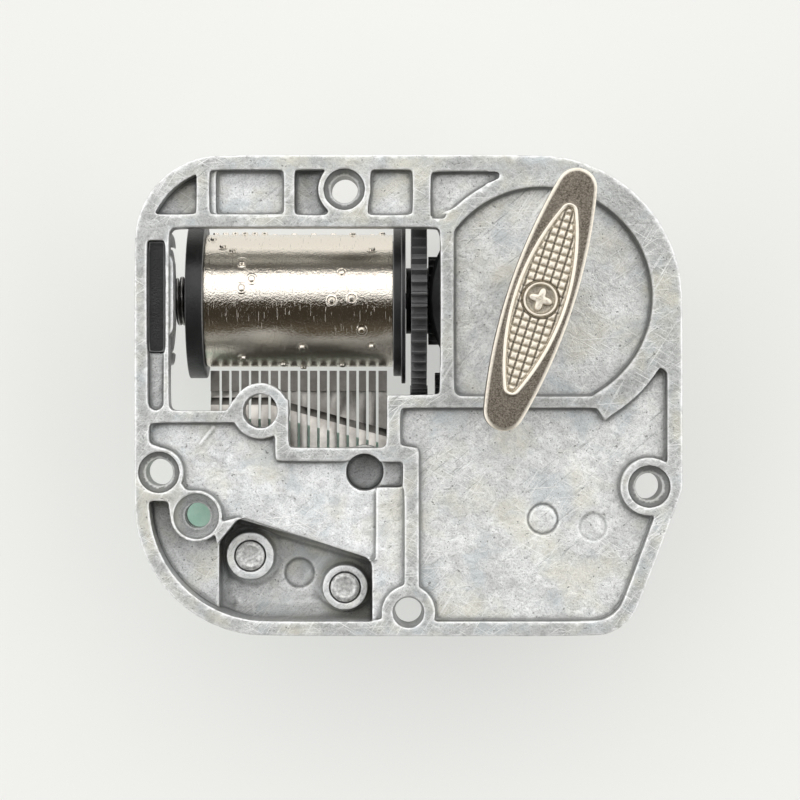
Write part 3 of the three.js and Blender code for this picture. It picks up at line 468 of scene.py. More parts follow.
def raise_mark(mesh, name, values):
    """Raises one of a mesh's stored marks to at least values."""
    stored = np.empty(len(mesh.vertices), np.float32)
    layer = mesh.attributes[name]
    layer.data.foreach_get("value", stored)
    layer.data.foreach_set("value", np.maximum(stored, values).astype(np.float32))


def smoothed_points(mesh, rounds):
    """The mesh's points after rounds of moving halfway to the middle of their neighbours."""
    count = len(mesh.vertices)
    points = rows_of(mesh)
    ends = np.empty(len(mesh.edges) * 2, int)
    mesh.edges.foreach_get("vertices", ends)
    a, b = ends.reshape(-1, 2).T
    valence = np.maximum(np.bincount(a, minlength=count) + np.bincount(b, minlength=count), 1)
    for _ in range(rounds):
        total = np.empty_like(points)
        for axis in range(3):
            total[:, axis] = np.bincount(a, points[b, axis], count) + np.bincount(b, points[a, axis], count)
        points = points + 0.5 * (total / valence[:, None] - points)
    return points


def smooth_step(x, low, high):
    """0 below low, 1 above high, and smooth between."""
    t = np.clip((x - low) / (high - low), 0, 1)
    return t * t * (3 - 2 * t)


def mark_edges(mesh, full):
    """Stores how convex ("edge"), hollow ("crevice") and upright ("wall") each point's surroundings are.

    Points that smoothing sinks or lifts by full millimetres get a full mark.
    """
    normals = rows_of(mesh, "normal")
    moved = smoothed_points(mesh, rounds=12) - rows_of(mesh)
    sunk = -(moved * normals).sum(1) / full
    store_mark(mesh, "edge", sunk)
    store_mark(mesh, "crevice_shade", -sunk)
    store_mark(mesh, "wall", (0.5 - np.abs(normals[:, 2])) / 0.35)


def piece(obj, node, material=None, also=()):
    """Turns a millimetre object into the visible piece that stands for a CAD node, and for those in also."""
    obj.data.transform(Matrix.Scale(MM, 4))
    obj.data.materials.clear()
    obj.data.materials.append(material or MATERIALS[SLOT_OF[node]])
    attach(obj, BODY_OF[node])
    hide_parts(node, *also)
    return obj


def cast(node, name, voxel, rounds, faces, full=0.05, fillings=(), uneven=0.0, relief=None, marks=None):
    """A casting or moulding: the CAD solid, remeshed finely with every edge and corner rounded.

    voxel is the remesh's size and rounds how often it is smoothed. At most faces triangles are kept.
    fillings are closed millimetre objects that become part of it. uneven is the height of its waves.
    relief sculpts its mesh, and marks adds to its edge and crevice marks.
    """
    obj = cad_copy(node, name)
    crease_sharp_edges(obj)
    modify(obj, "SUBSURF", levels=2, render_levels=2, boundary_smooth="PRESERVE_CORNERS")
    applied(obj)
    if fillings:
        obj = merged(name, obj, *fillings)
    modify(obj, "REMESH", mode="VOXEL", voxel_size=voxel)
    modify(obj, "SMOOTH", factor=0.5, iterations=rounds)
    if uneven:
        waves = bpy.data.textures.new("casting_waves", "CLOUDS")
        waves.noise_scale = WAVE_LENGTH
        waves.noise_depth = 3
        modify(obj, "DISPLACE", texture=waves, strength=uneven, mid_level=0.5)
    applied(obj)
    if relief:
        relief(obj.data)
    mark_edges(obj.data, full)
    if marks:
        marks(obj.data)
    triangles = 2 * len(obj.data.polygons)
    if triangles > faces:
        modify(obj, "DECIMATE", ratio=faces / triangles)
        applied(obj)
    obj.data.shade_smooth()
    return piece(obj, node)


def bevelled(obj, width, segments):
    """Gives a millimetre object narrow rounded edges and marks them."""
    modify(
        obj, "BEVEL", width=width, segments=segments, limit_method="ANGLE", angle_limit=SHARP,
        use_clamp_overlap=True, miter_outer="MITER_ARC",
    )
    applied(obj)
    obj.data.set_sharp_from_angle(angle=SHARP)
    mark_turns(obj.data)


def machined(node, name, width=0.06, segments=2):
    """A machined or stamped piece: the CAD solid with narrow rounded edges."""
    obj = cad_copy(node, name)
    bevelled(obj, width, segments)
    return piece(obj, node)


def mark_turns(mesh):
    """Marks points as edges or crevices by how sharply the faces there turn."""
    bm = bmesh.new()
    bm.from_mesh(mesh)
    edge = bm.verts.layers.float.new("edge")
    crevice_shade = bm.verts.layers.float.new("crevice_shade")
    for v in bm.verts:
        turns = [e.calc_face_angle_signed(0.0) for e in v.link_edges if len(e.link_faces) == 2]
        v[edge] = min(1.0, max([0.0, *turns]) / FULL_TURN)
        v[crevice_shade] = min(1.0, max([0.0, *[-t for t in turns]]) / FULL_TURN)
    bm.to_mesh(mesh)
    bm.free()


# ------------------------------------------------------------------ shapes from sections


def merged(name, *objects):
    """One object with the meshes of several millimetre objects."""
    bm = bmesh.new()
    for obj in objects:
        bm.from_mesh(obj.data)
        mesh = obj.data
        bpy.data.objects.remove(obj)
        bpy.data.meshes.remove(mesh)
    mesh = bpy.data.meshes.new(name)
    bm.to_mesh(mesh)
    bm.free()
    return new_object(name, mesh)


def closed_mesh(name, points, faces):
    """A closed mesh object with its faces turned outwards."""
    mesh = mesh_from(name, points, faces)
    bm = bmesh.new()
    bm.from_mesh(mesh)
    bmesh.ops.recalc_face_normals(bm, faces=bm.faces)
    bm.to_mesh(mesh)
    bm.free()
    return new_object(name, mesh)


def swept(name, rows):
    """A closed solid through rows of points, each row a section with the same number of corners."""
    corners = len(rows[0])
    points = [point for row in rows for point in row]
    faces = []
    for i in range(len(rows) - 1):
        for k in range(corners):
            j = (k + 1) % corners
            faces.append((i * corners + k, i * corners + j, (i + 1) * corners + j, (i + 1) * corners + k))
    last = (len(rows) - 1) * corners
    faces += [tuple(range(corners))[::-1], tuple(last + k for k in range(corners))]
    return closed_mesh(name, points, faces)


def eased(profile, radius, steps=3):
    """A profile with each inner corner rounded off by up to radius millimetres."""
    made = [profile[0]]
    for before, corner, after in zip(profile, profile[1:], profile[2:]):
        here, back, on = Vector(corner), Vector(before) - Vector(corner), Vector(after) - Vector(corner)
        reach = min(radius, back.length * 0.45, on.length * 0.45)
        start, end = here + back.normalized() * reach, here + on.normalized() * reach
        for i in range(steps + 1):
            t = i / steps
            made.append(tuple((1 - t) ** 2 * start + 2 * t * (1 - t) * here + t * t * end))
    made.append(profile[-1])
    return made


def lathe(name, profile, steps, axis, centre):
    """Turns a profile of (radius, along) about Z or X through centre. It is closed at the axis."""
    points, faces, rows = [], [], []
    for radius, along in profile:
        if radius < 1e-6:
            rows.append([len(points)] * steps)
            points.append((0.0, 0.0, along))
            continue
        rows.append(list(range(len(points), len(points) + steps)))
        for i in range(steps):
            angle = 2 * math.pi * i / steps
            points.append((radius * math.cos(angle), radius * math.sin(angle), along))
    closed = profile[0] == profile[-1]
    if closed:
        rows[-1] = rows[0]
    for low, high in zip(rows, rows[1:]):
        for i in range(steps):
            j = (i + 1) % steps
            corners = [low[i], low[j], high[j], high[i]]
            face = [c for k, c in enumerate(corners) if c != corners[k - 1]]
            if len(set(face)) > 2:
                faces.append(face)
    points = np.array(points)
    if axis == "X":
        points = points[:, [2, 0, 1]]
    points = points + np.array(centre)
    mesh = mesh_from(name, points, faces)
    bm = bmesh.new()
    bm.from_mesh(mesh)
    bmesh.ops.delete(bm, geom=[v for v in bm.verts if not v.link_faces], context="VERTS")
    bmesh.ops.recalc_face_normals(bm, faces=bm.faces)
    bm.to_mesh(mesh)
    bm.free()
    return new_object(name, mesh)


def cut(obj, cutter):
    """Takes cutter's shape out of obj."""
    modify(obj, "BOOLEAN", operation="DIFFERENCE", solver="EXACT", object=cutter)
    applied(obj)
    mesh = cutter.data
    bpy.data.objects.remove(cutter)
    bpy.data.meshes.remove(mesh)
    return obj


def block(low, high):
    """A closed box used only to cut other shapes."""
    bm = bmesh.new()
    bmesh.ops.create_cube(bm, size=1.0)
    low, high = Vector(low), Vector(high)
    for v in bm.verts:
        v.co = Vector([(low[k] + high[k]) / 2 + v.co[k] * (high[k] - low[k]) for k in range(3)])
    mesh = bpy.data.meshes.new("cutter")
    bm.to_mesh(mesh)
    bm.free()
    return new_object("cutter", mesh)


def turned_piece(node, name, profile, axis, centre, steps, ease=0.12):
    """A piece turned from a profile whose corners are rounded by ease millimetres."""
    obj = lathe(name, eased(profile, ease), steps, axis, centre)
    obj.data.set_sharp_from_angle(angle=ROUNDED)
    mark_turns(obj.data)
    return piece(obj, node)


def middle_of(node):
    low, high = box_mm(node)
    return (low + high) / 2


# ------------------------------------------------------------------ the bedplate

# Fillets reach SINK millimetres into the floor and the walls that they join.
POCKET_FLOOR, SINK = 14.3, 0.35
# The comb's screw bosses: X, Y and radius.
COMB_BOSSES = [(-14.6, -14.8, 2.25), (-5.85, -17.7, 2.15)]


def fillet_curve(width, height, steps=8):
    """A hollow quarter curve from the floor to a wall: distances from the wall and heights."""
    angles = [math.pi / 2 * k / steps for k in range(steps + 1)]
    return [(width * (1 - math.sin(a)), POCKET_FLOOR + height * (1 - math.cos(a))) for a in angles]


def wall_fillet(name, stations):
    """Fills the foot of a wall. Each station is x, y, the inward direction in degrees, width and height."""
    rows = []
    for x, y, inward, width, height in stations:
        section = [(width, POCKET_FLOOR - SINK), *fillet_curve(width, height), (-SINK, POCKET_FLOOR + height)]
        section.append((-SINK, POCKET_FLOOR - SINK))
        across, along = math.cos(math.radians(inward)), math.sin(math.radians(inward))
        rows.append([(x + d * across, y + d * along, z) for d, z in section])
    return swept(name, rows)


def boss_foot(x, y, radius, width=0.7, height=1.3):
    """The rounded foot of a screw boss in the comb's pocket."""
    curve = [(radius + d, z) for d, z in fillet_curve(width, height)]
    inner, bottom = radius - SINK, POCKET_FLOOR - SINK
    profile = [(inner, bottom), (radius + width, bottom), *curve, (inner, curve[-1][1])]
    return lathe("boss_foot", [*profile, profile[0]], 64, "Z", (x, y, 0))


def pocket_fillets():
    """The wide rounded feet of the comb pocket's walls and bosses."""
    corner = []
    for inward in range(0, 91, 15):
        across, along = math.cos(math.radians(inward)), math.sin(math.radians(inward))
        x, y = -15.9 - 1.5 * across, -19.05 - 1.5 * along
        corner.append((x, y, inward, 0.75 + inward / 90, 1.3 + inward / 50))
    outer = wall_fillet("outer_fillet", [(-17.4, -12.4, 0, 0.5, 1.0), *corner, (-3.3, -20.55, 90, 1.75, 3.1)])
    slanted = wall_fillet(
        "slanted_fillet", [(-15.9, -11.2, -106.5, 0.8, 4.7), (-3.2, -14.95, -106.5, 0.8, 4.2)]
    )
    right = wall_fillet("right_fillet", [(-3.1, -20.6, 180, 0.35, 1.2), (-3.1, -14.9, 180, 0.35, 1.2)])
    return [outer, slanted, right, *(boss_foot(*boss) for boss in COMB_BOSSES)]


MOUNTING_HOLES = [(-5.85, 18.8), (-22.75, -7.0), (0.0, -19.75), (21.95, -8.3)]
# The two ends of a line of flash, its height and its half width.
FLASH, FLASH_HEIGHT, FLASH_HALF_WIDTH = ((-17.87, -2.90), (-19.06, -4.45)), 0.09, 0.11


def flash_relief(mesh):
    """Raises the line of flash on the floor to the left of the window's ring."""
    points = rows_of(mesh)
    start, end = (np.array(place) for place in FLASH)
    along = end - start
    share = np.clip(((points[:, :2] - start) @ along) / (along @ along), 0, 1)
    away = np.linalg.norm(points[:, :2] - start - share[:, None] * along, axis=1)
    upper = smooth_step(points[:, 2], 14.0, 15.0)
    points[:, 2] += FLASH_HEIGHT * upper * np.exp(-((away / FLASH_HALF_WIDTH) ** 2))
    move_points(mesh, points)


def bedplate_marks(mesh):
    """Painted shadow in the mounting holes' countersinks, round a painted highlight on their lip."""
    x, y, z = rows_of(mesh).T
    below_rim = smooth_step(RIM - z, 0.1, 0.25)
    for hole_x, hole_y in MOUNTING_HOLES:
        away = np.hypot(x - hole_x, y - hole_y)
        # Painted shadow on each countersink's wall, and a painted highlight on the lip inside it.
        countersink_shadow = smooth_step(away, 1.38, 1.5) * (1 - smooth_step(away, 1.95, 2.1))
        lip_highlight = smooth_step(away, 1.2, 1.26) * (1 - smooth_step(away, 1.34, 1.46))
        raise_mark(mesh, "crevice_shade", below_rim * countersink_shadow)
        raise_mark(mesh, "edge", below_rim * lip_highlight * 0.6)


cast(
    "bedplate", "bedplate_casting", voxel=0.1, rounds=9, faces=190_000, fillings=pocket_fillets(),
    uneven=0.04, relief=flash_relief, marks=bedplate_marks,
)

# ------------------------------------------------------------------ springs and threads


def wound(name, radius, wire, pitch, turns, axis, start, section=12, steps=48, lead=0.0):
    """A round wire of radius wire wound about Z or X, from start on, with thinned ends.

    It has section corners round the wire and steps sections in a turn, and starts at the angle lead.
    """
    rows = []
    total = int(steps * turns)
    for i in range(total + 1):
        angle = lead + 2 * math.pi * i / steps
        rise = pitch * i / steps
        half = wire * min(1.0, 0.25 + i / 6, 0.25 + (total - i) / 6)
        row = []
        for k in range(section):
            around = 2 * math.pi * k / section
            out = radius + half * math.cos(around)
            row.append((out * math.cos(angle), out * math.sin(angle), rise + half * math.sin(around)))
        rows.append(row)
    turned = np.array(rows)
    if axis == "X":
        turned = turned[:, :, [2, 0, 1]]
    obj = swept(name, (turned + np.array(start)).tolist())
    obj.data.shade_smooth()
    return obj


# ------------------------------------------------------------------ music cylinder

shaft_low, shaft_high = box_mm("cylinder_shaft")
_, AXIS_Y, AXIS_Z = middle_of("cylinder_shaft")
AXIS_CENTRE = (0.0, AXIS_Y, AXIS_Z)
ARBOR = middle_of("winding_arbor")
DRUM_RADIUS, DRUM_WALL, PIN_HEIGHT = 6.25, 0.5, 0.25
# The radii of the cylinder's shaft, of its caps' bore, and of the part of each cap inside the drum.
SHAFT_RADIUS, BORE, SPIGOT = 0.75, 0.8, 5.6
NOTES = 18
comb_low, comb_high = box_mm("comb")
NOTE_PITCH = (comb_high.x - comb_low.x) / NOTES

# The pins that face up at rest: which note's ring, and degrees from straight up towards +Y.
PINS_FACING_UP = [
    (0, 64), (1, 52), (2, 46), (3, 33), (3, 86), (4, 17), (3, 9), (14, 80), (16, 48), (13, 23),
    (12, -2), (14, 0), (9, -46), (16, -45), (7, -72), (9, -83), (13, -74), (3, -60), (15, -28),
]


def all_pins():
    """The pins facing up, and an even, seeded scatter of pins over the rest of the barrel."""
    rng = np.random.default_rng(18)
    pins = list(PINS_FACING_UP)
    for note in range(NOTES):
        angles = np.arange(98.0, 268.0, 34.0) + rng.uniform(-11.0, 11.0, 5)
        pins += [(note, float(angle)) for angle in angles if rng.random() < 0.85]
    return pins


def pin(note, degrees):
    """One pin, standing in a small burr, along Z at the drum's surface and then turned into place."""
    burr = [(0.6, 0.0), (0.45, 0.05), (0.32, 0.02), (0.27, PIN_HEIGHT), (0, PIN_HEIGHT)]
    root = -0.3
    profile = [(0.0, root), (0.6, root), *eased(burr, 0.06, 3)]
    made = lathe("pin", profile, 20, "Z", (0, 0, DRUM_RADIUS - 0.02))
    made.data.transform(Matrix.Rotation(math.radians(-degrees), 4, "X"))
    x = comb_low.x + NOTE_PITCH * (note + 0.5)
    made.data.transform(Matrix.Translation((x, AXIS_Y, AXIS_Z)))
    return made


def barrel():
    """The pinned tube, with a ring of points every third of a millimetre along it."""
    low, high = box_mm("cylinder_drum")
    inner = DRUM_RADIUS - DRUM_WALL
    outside = [(DRUM_RADIUS, x) for x in np.linspace(low.x, high.x, 60)]
    section = [(inner, low.x), *outside, (inner, high.x), (inner, low.x)]
    tube = lathe("tube", section, 256, "X", AXIS_CENTRE)
    tube.data.set_sharp_from_angle(angle=math.radians(30))
    pins = [pin(*spot) for spot in all_pins()]
    for made in pins:
        made.data.set_sharp_from_angle(angle=ROUNDED)
    return piece(merged("cylinder_barrel", tube, *pins), "cylinder_drum")


turned_piece(
    "cylinder_shaft", "cylinder_axle",
    [(0, shaft_low.x), (SHAFT_RADIUS, shaft_low.x), (SHAFT_RADIUS, shaft_high.x), (0, shaft_high.x)],
    "X", AXIS_CENTRE, 32,
)
barrel()

cap_low, cap_high = box_mm("cylinder_left_cap")
CAP_FLANGE_X = -18.95
turned_piece(
    "cylinder_left_cap", "cylinder_left_end_cap",
    [
        (BORE, cap_low.x), (2.4, cap_low.x), (2.6, cap_low.x + 0.22), (6.2, cap_low.x + 0.22),
        (6.4, cap_low.x), (7.3, cap_low.x), (7.3, CAP_FLANGE_X), (SPIGOT, CAP_FLANGE_X),
        (SPIGOT, cap_high.x), (BORE, cap_high.x), (BORE, cap_low.x),
    ],
    "X", AXIS_CENTRE, 160, ease=0.1,
)
flange_low, flange_high = box_mm("cylinder_right_flange")
turned_piece(
    "cylinder_right_flange", "cylinder_right_end_flange",
    [
        (BORE, flange_low.x), (SPIGOT, flange_low.x), (SPIGOT, -1.4), (7.1, -1.4), (7.1, -0.65),
        (7.8, -0.65), (7.8, flange_high.x), (BORE, flange_high.x), (BORE, flange_low.x),
    ],
    "X", AXIS_CENTRE, 160, ease=0.1,
)
machined("cylinder_gear", "cylinder_gear_wheel", width=0.06)
spring_start = box_mm("cylinder_end_spring")[0].x + 0.24
piece(
    wound(
        "cylinder_thrust_spring", radius=2.12, wire=0.21, pitch=0.42, turns=2.15,
        axis="X", start=(spring_start, AXIS_Y, AXIS_Z),
    ),
    "cylinder_end_spring",
)
cast("left_bearing_bush", "left_bush", voxel=0.08, rounds=4, faces=16_000)

# ------------------------------------------------------------------ comb


def comb_plate():
    """The comb with its teeth ground thin behind their tips, and a slope up to the thick root."""
    obj = cad_copy("comb", "comb_plate")
    above = comb_high.z + 0.3
    reach = SLOPE * (above - THIN_Z) / (comb_high.z - THIN_Z)
    rows = []
    for x, y in ROOT_LINE:
        rows.append([(x, TIP_STEP_Y, THIN_Z), (x, TIP_STEP_Y, above), (x, y - reach, above), (x, y, THIN_Z)])
    cut(obj, swept("grinding", rows))
    bevelled(obj, 0.035, 2)
    return piece(obj, "comb")


comb_plate()
machined("comb_base", "comb_heel", width=0.15, segments=3)


# ------------------------------------------------------------------ screws


SCREW_PLATE = plated_screw()


def pan_screw(node, name, head_high, head_radius, shank_radius, dimple, chamfer):
    """A pan-head screw with its slotted head down, a threaded shank and a dimpled end.

    head_high is the Z where the head meets the shank, and dimple the radius of the end's hollow.
    """
    low, high = box_mm(node)
    centre = ((low.x + high.x) / 2, (low.y + high.y) / 2, 0)
    thread, thread_root, tip = 0.4, shank_radius - 0.14, high.z
    profile = [
        (0, low.z), (head_radius * 0.72, low.z), (head_radius, low.z + 0.45), (head_radius, head_high),
    ]
    z = head_high
    while z + thread < tip - chamfer - 0.3:
        profile += [(thread_root, z + 0.05), (shank_radius, z + thread * 0.5), (thread_root, z + thread)]
        z += thread
    profile += [
        (shank_radius, z + 0.2), (shank_radius, tip - chamfer * 0.55), (shank_radius - chamfer, tip),
        (dimple, tip), (dimple - 0.12, tip - 0.07), (0, tip - 0.09),
    ]
    obj = lathe(name, eased(profile, 0.07, 2), 56, "Z", centre)
    reach, slot_half, slot_top = head_radius + 1, 0.25, low.z + 0.5
    slot = block(
        (centre[0] - reach, centre[1] - slot_half, low.z - 1),
        (centre[0] + reach, centre[1] + slot_half, slot_top),
    )
    cut(obj, slot)
    obj.data.set_sharp_from_angle(angle=ROUNDED)
    mark_turns(obj.data)
    return piece(obj, node, SCREW_PLATE)


COMB_SCREW = {"head_high": 9.25, "head_radius": 2.3, "shank_radius": 1.34, "dimple": 0.95, "chamfer": 0.26}
HOUSING_SCREW = {"head_high": 5.05, "head_radius": 1.8, "shank_radius": 0.9, "dimple": 0.45, "chamfer": 0.25}
GOVERNOR_SCREW = {**HOUSING_SCREW, "head_high": 12.65, "head_radius": 2.0}
for screw, sizes in (
    ("comb_screw_left", COMB_SCREW), ("comb_screw_right", COMB_SCREW), ("housing_screw_upper", HOUSING_SCREW),
    ("housing_screw_lower", HOUSING_SCREW), ("governor_screw", GOVERNOR_SCREW),
):
    pan_screw(screw, f"{screw}_fastener", **sizes)

# ------------------------------------------------------------------ the winding key

KEY_ANGLE = math.radians(71.9)
KEY_BAR = {"half": 12.15, "half_width": 3.0, "end": 1.85}
KEY_RECESS = {"half": 8.6, "half_width": 2.15, "end": 0.5}
# Heights and depths on the key's face, the grid's pitch, and the radii of the emblem and of its ring.
DOME_DROP, LINE_HEIGHT, STUD_HEIGHT, EMBLEM_DEPTH, PETAL_HEIGHT = 0.2, 0.13, 0.2, 0.3, 0.26
GRID, EMBLEM_RADIUS, RING_RADIUS = 0.72, 1.7, 1.42


def key_place(points):
    """Distances along and across the key's bar of points in the row frame."""
    centre = middle_of("winding_key")
    x, y = points[:, 0] - centre.x, points[:, 1] - centre.y
    across, along = math.cos(KEY_ANGLE), math.sin(KEY_ANGLE)
    return x * across + y * along, -x * along + y * across


def inside_oval(u, v, half, half_width, end):
    """How far points lie inside a long oval with round ends, in millimetres; negative outside it.

    half and half_width are its half length and half width, and end is the radius of its ends.
    """
    reach = half - end
    side = (reach**2 + half_width**2 - end**2) / (2 * (half_width - end))
    across = side - np.hypot(u, np.abs(v) + side - half_width)
    ends = end - np.hypot(np.maximum(np.abs(u) - reach, 0), v)
    return np.where(np.abs(u) * (side - half_width) > reach * (np.abs(v) + side - half_width), ends, across)


def key_relief(mesh):
    """Sculpts the key's face: a domed rim, a line round the recess, a grid of studs and a plain rosette."""
    points = rows_of(mesh)
    u, v = key_place(points)
    top = box_mm("winding_key")[1].z
    face = smooth_step(points[:, 2], top - 0.95, top - 0.6)
    rim = inside_oval(u, v, **KEY_BAR)
    well = inside_oval(u, v, **KEY_RECESS)
    dome = -DOME_DROP * (1 - smooth_step(rim, -0.1, 0.5)) ** 2
    line = LINE_HEIGHT * np.exp(-(((well + 0.16) / 0.13) ** 2))
    within = smooth_step(well, 0.12, 0.3)
    emblem = np.hypot(u, v)
    outside_emblem = smooth_step(emblem, EMBLEM_RADIUS - 0.08, EMBLEM_RADIUS + 0.08)
    # How far each point is from the grooves that cross the bar and from those that run along it.
    to_cross = GRID / 2 * (1 - np.abs((u / GRID) % 1 - 0.5) * 2)
    to_long = GRID / 2 * (1 - np.abs((v / GRID + 0.5) % 1 - 0.5) * 2)
    studs = STUD_HEIGHT * smooth_step(np.minimum(to_cross, to_long), 0.02, 0.2)
    ring = np.exp(-(((emblem - RING_RADIUS) / 0.16) ** 2))
    petals = smooth_step(np.cos(4 * np.arctan2(v, u)) * 0.28 + 0.78 - emblem, -0.1, 0.12)
    rosette = -EMBLEM_DEPTH + EMBLEM_DEPTH * ring + PETAL_HEIGHT * petals
    raised = dome + line + within * outside_emblem * studs + (1 - outside_emblem) * rosette
    points[:, 2] += face * raised
    move_points(mesh, points)
    long_grooves = within * outside_emblem * (1 - smooth_step(to_long, 0.0, 0.13))
    cross_grooves = within * outside_emblem * (1 - smooth_step(to_cross, 0.0, 0.1))
    pit = (1 - outside_emblem) * (1 - ring) * (1 - petals) * smooth_step(1.5 - emblem, 0.0, 0.1)
    darkness = np.clip(0.9 * long_grooves + 0.5 * cross_grooves + 0.5 * pit, 0, 1)
    store_mark(mesh, "groove", face * darkness)
    store_mark(mesh, "panel", face * smooth_step(well, -0.3, -0.05))


cast("winding_key", "key_bar", voxel=0.065, rounds=6, faces=130_000, full=0.035, relief=key_relief)

ARBOR_CENTRE = (ARBOR.x, ARBOR.y, 0)
ARBOR_RADIUS = 1.25
stem_low, stem_high = box_mm("key_stem")
turned_piece(
    "key_stem", "key_shank",
    [(1.35, stem_low.z), (1.9, stem_low.z), (1.9, stem_high.z), (1.35, stem_high.z), (1.35, stem_low.z)],
    "Z", ARBOR_CENTRE, 64,
)
turned_piece(
    "winding_arbor", "winding_axle",
    [
        (0, 0.1), (1.1, 0.1), (ARBOR_RADIUS, 0.3), (ARBOR_RADIUS, 1.4), (2.3, 1.4), (2.3, 5.3),
        (ARBOR_RADIUS, 5.3), (ARBOR_RADIUS, 25.2), (0.9, 25.5), (0, 25.5),
    ],
    "Z", ARBOR_CENTRE, 48, ease=0.08,
)

# ------------------------------------------------------------------ drive and spring housing

machined("drive_wheel", "drive_crown_wheel", width=0.06)
coil_start = (ARBOR.x, ARBOR.y, 9.9)
piece(
    wound("clutch_coil", radius=1.75, wire=0.24, pitch=0.62, turns=6, axis="Z", start=coil_start),
    "clutch_spring",
)
machined("mainspring", "spring_strip", width=0.03)
cast("spring_housing", "spring_barrel", voxel=0.1, rounds=6, faces=60_000)
lid_top = box_mm("spring_housing_cover")[1].z
turned_piece(
    "spring_housing_cover", "spring_barrel_lid",
    [
        (1.33, 0.0), (3.2, 0.0), (3.4, 0.12), (6.6, 0.12), (6.8, 0.0), (9.4, 0.0), (9.6, 0.2), (9.6, 0.6),
        (8.5, 0.6), (8.5, lid_top), (7.9, lid_top), (7.9, 0.6), (1.33, 0.6), (1.33, 0.0),
    ],
    "Z", ARBOR_CENTRE, 160, ease=0.08,
)

# ------------------------------------------------------------------ governor

cast("governor_frame", "governor_bracket", voxel=0.1, rounds=5, faces=40_000)
cast("governor_cap", "governor_end_cap", voxel=0.1, rounds=4, faces=16_000)
machined("governor_wheel", "governor_gear_wheel", width=0.04)
counter_low, counter_high = box_mm("governor_shaft")
counter = middle_of("governor_shaft")
turned_piece(
    "governor_shaft", "governor_axle",
    [(0, counter_low.x), (0.5, counter_low.x), (0.5, counter_high.x), (0, counter_high.x)],
    "X", (0, counter.y, counter.z), 32,
)
fly_low, fly_high = box_mm("fly_spindle")
fly = middle_of("fly_spindle")
turned_piece(
    "fly_spindle", "fly_axle",
    [(0, fly_low.z), (0.45, fly_low.z), (0.45, fly_high.z), (0, fly_high.z)],
    "Z", (fly.x, fly.y, 0), 32,
)


def worm():
    """The governor's single-start worm: a core with a rounded thread wound on it."""
    top = box_mm("governor_worm")[1].z
    pitch, turns, bore, core_radius = 0.942478, 5, 0.5, 0.84
    start = counter.z - pitch * turns / 2
    bottom = start - 0.5
    section = [(bore, bottom), (core_radius, bottom), (core_radius, top), (bore, top), (bore, bottom)]
    core = lathe("core", eased(section, 0.06), 40, "Z", (fly.x, fly.y, 0))
    core.data.set_sharp_from_angle(angle=ROUNDED)
    thread = wound(
        "thread", radius=1.0, wire=0.19, pitch=pitch, turns=turns, axis="Z", start=(fly.x, fly.y, start),
        section=10, steps=40, lead=math.pi / 2,
    )
    return piece(merged("governor_worm_screw", core, thread), "governor_worm")


worm()
machined("fly_wings", "fly_brake_wings", width=0.05)

# ------------------------------------------------------------------ floor, light and camera


def floor():
    """A large sheet of white paper, which glows a little so that shadows on it stay pale."""
    half = 2.0
    corners = [(-half, -half, 0), (half, -half, 0), (half, half, 0), (-half, half, 0)]
    mesh = mesh_from("floor", corners, [(0, 1, 2, 3)])
    obj = new_object("floor", mesh)
    glow = {"Emission_Color": (0.99, 1.0, 0.975, 1.0), "Emission_Strength": 0.46}
    m = Shader("floor_paper", roughness=0.9, **glow)
    m.colour(m.mix(m.noise(60.0, detail=2.0), (0.40, 0.395, 0.38), (0.41, 0.405, 0.39)))
    mesh.materials.append(m.material)


def softbox(name, place, target, width, height, watts, colour):
    """A rectangular lamp at a place, turned towards a target. All lengths are in metres."""
    lamp = bpy.data.lights.new(name, "AREA")
    lamp.shape, lamp.size, lamp.size_y, lamp.energy, lamp.color = "RECTANGLE", width, height, watts, colour
    obj = bpy.data.objects.new(name, lamp)
    obj.location = place
    obj.rotation_euler = (Vector(target) - Vector(place)).to_track_quat("-Z", "Y").to_euler()
    bpy.context.scene.collection.objects.link(obj)


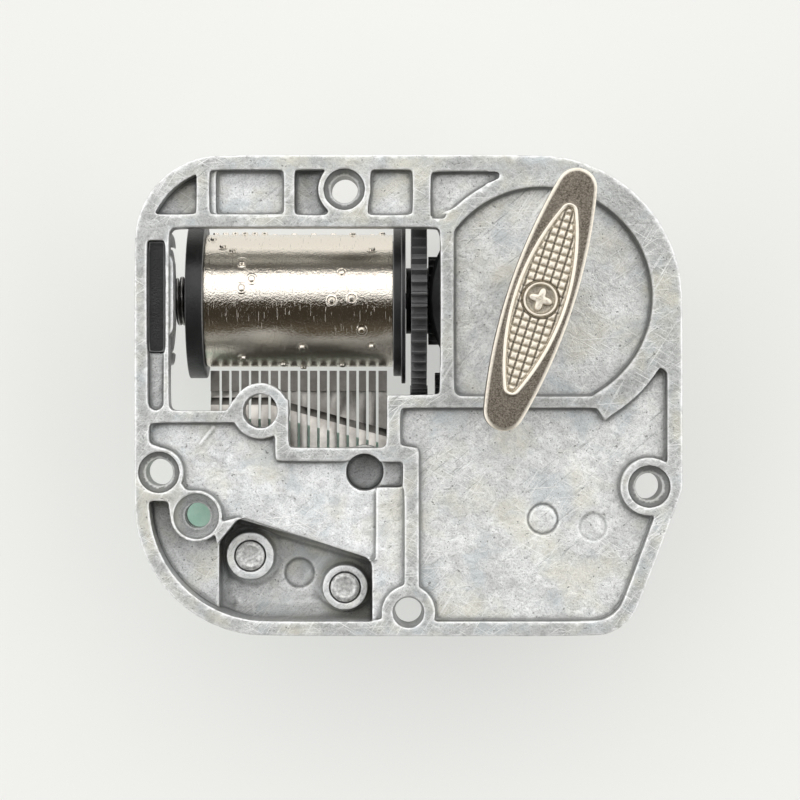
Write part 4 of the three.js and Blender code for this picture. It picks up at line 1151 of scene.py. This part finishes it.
def studio_world():
    """A bright white room with two dark openings towards -Y, one high and one low, for reflections."""
    world = bpy.data.worlds.new("studio")
    world.use_nodes = True
    tree = world.node_tree
    sky = tree.nodes["Background"]
    direction = tree.nodes.new("ShaderNodeTexCoord").outputs["Generated"]

    def dark_spot(elevation, inner, outer, shade):
        """White, but shade within inner degrees of the direction at that elevation over -Y."""
        away = tree.nodes.new("ShaderNodeVectorMath")
        away.operation = "DOT_PRODUCT"
        angle = math.radians(elevation)
        away.inputs[1].default_value = (0.0, -math.cos(angle), math.sin(angle))
        tree.links.new(direction, away.inputs[0])
        ramp = tree.nodes.new("ShaderNodeValToRGB")
        near, far = math.cos(math.radians(inner)), math.cos(math.radians(outer))
        stops = ramp.color_ramp.elements
        stops[0].position, stops[0].color = far, (0.985, 0.99, 1.0, 1)
        stops[1].position, stops[1].color = near, (*shade, 1)
        tree.links.new(away.outputs["Value"], ramp.inputs["Fac"])
        return ramp.outputs["Color"]

    light = tree.nodes.new("ShaderNodeMix")
    light.data_type, light.blend_type = "RGBA", "DARKEN"
    light.inputs["Factor"].default_value = 1.0
    above = dark_spot(elevation=70, inner=25, outer=30, shade=(0.03, 0.025, 0.018))
    in_front = dark_spot(elevation=18, inner=34, outer=46, shade=(0.07, 0.06, 0.045))
    tree.links.new(above, light.inputs[6])
    tree.links.new(in_front, light.inputs[7])
    tree.links.new(light.outputs[2], sky.inputs["Color"])
    sky.inputs["Strength"].default_value = 1.5
    bpy.context.scene.world = world


floor()
studio_world()
softbox(
    "window", place=(0.0, 0.37, 0.47), target=(0, 0, 0.01), width=1.0, height=0.26, watts=0.3,
    colour=(1.0, 0.93, 0.82),
)

# The camera's height above the rim, and the width and the middle of what it sees in the rim's plane.
CAMERA_ABOVE_RIM, VIEW_WIDTH, VIEW_CENTRE = 250.0, 72.86, (-0.77, -0.41)
camera_data = bpy.data.cameras.new("camera")
camera_data.lens = camera_data.sensor_width * CAMERA_ABOVE_RIM / VIEW_WIDTH
camera_data.clip_start = 0.01
camera = bpy.data.objects.new("camera", camera_data)
camera.location = (VIEW_CENTRE[0] * MM, VIEW_CENTRE[1] * MM, (RIM + CAMERA_ABOVE_RIM) * MM)
bpy.context.scene.collection.objects.link(camera)
bpy.context.scene.camera = camera
bpy.context.scene.view_settings.view_transform = "Standard"
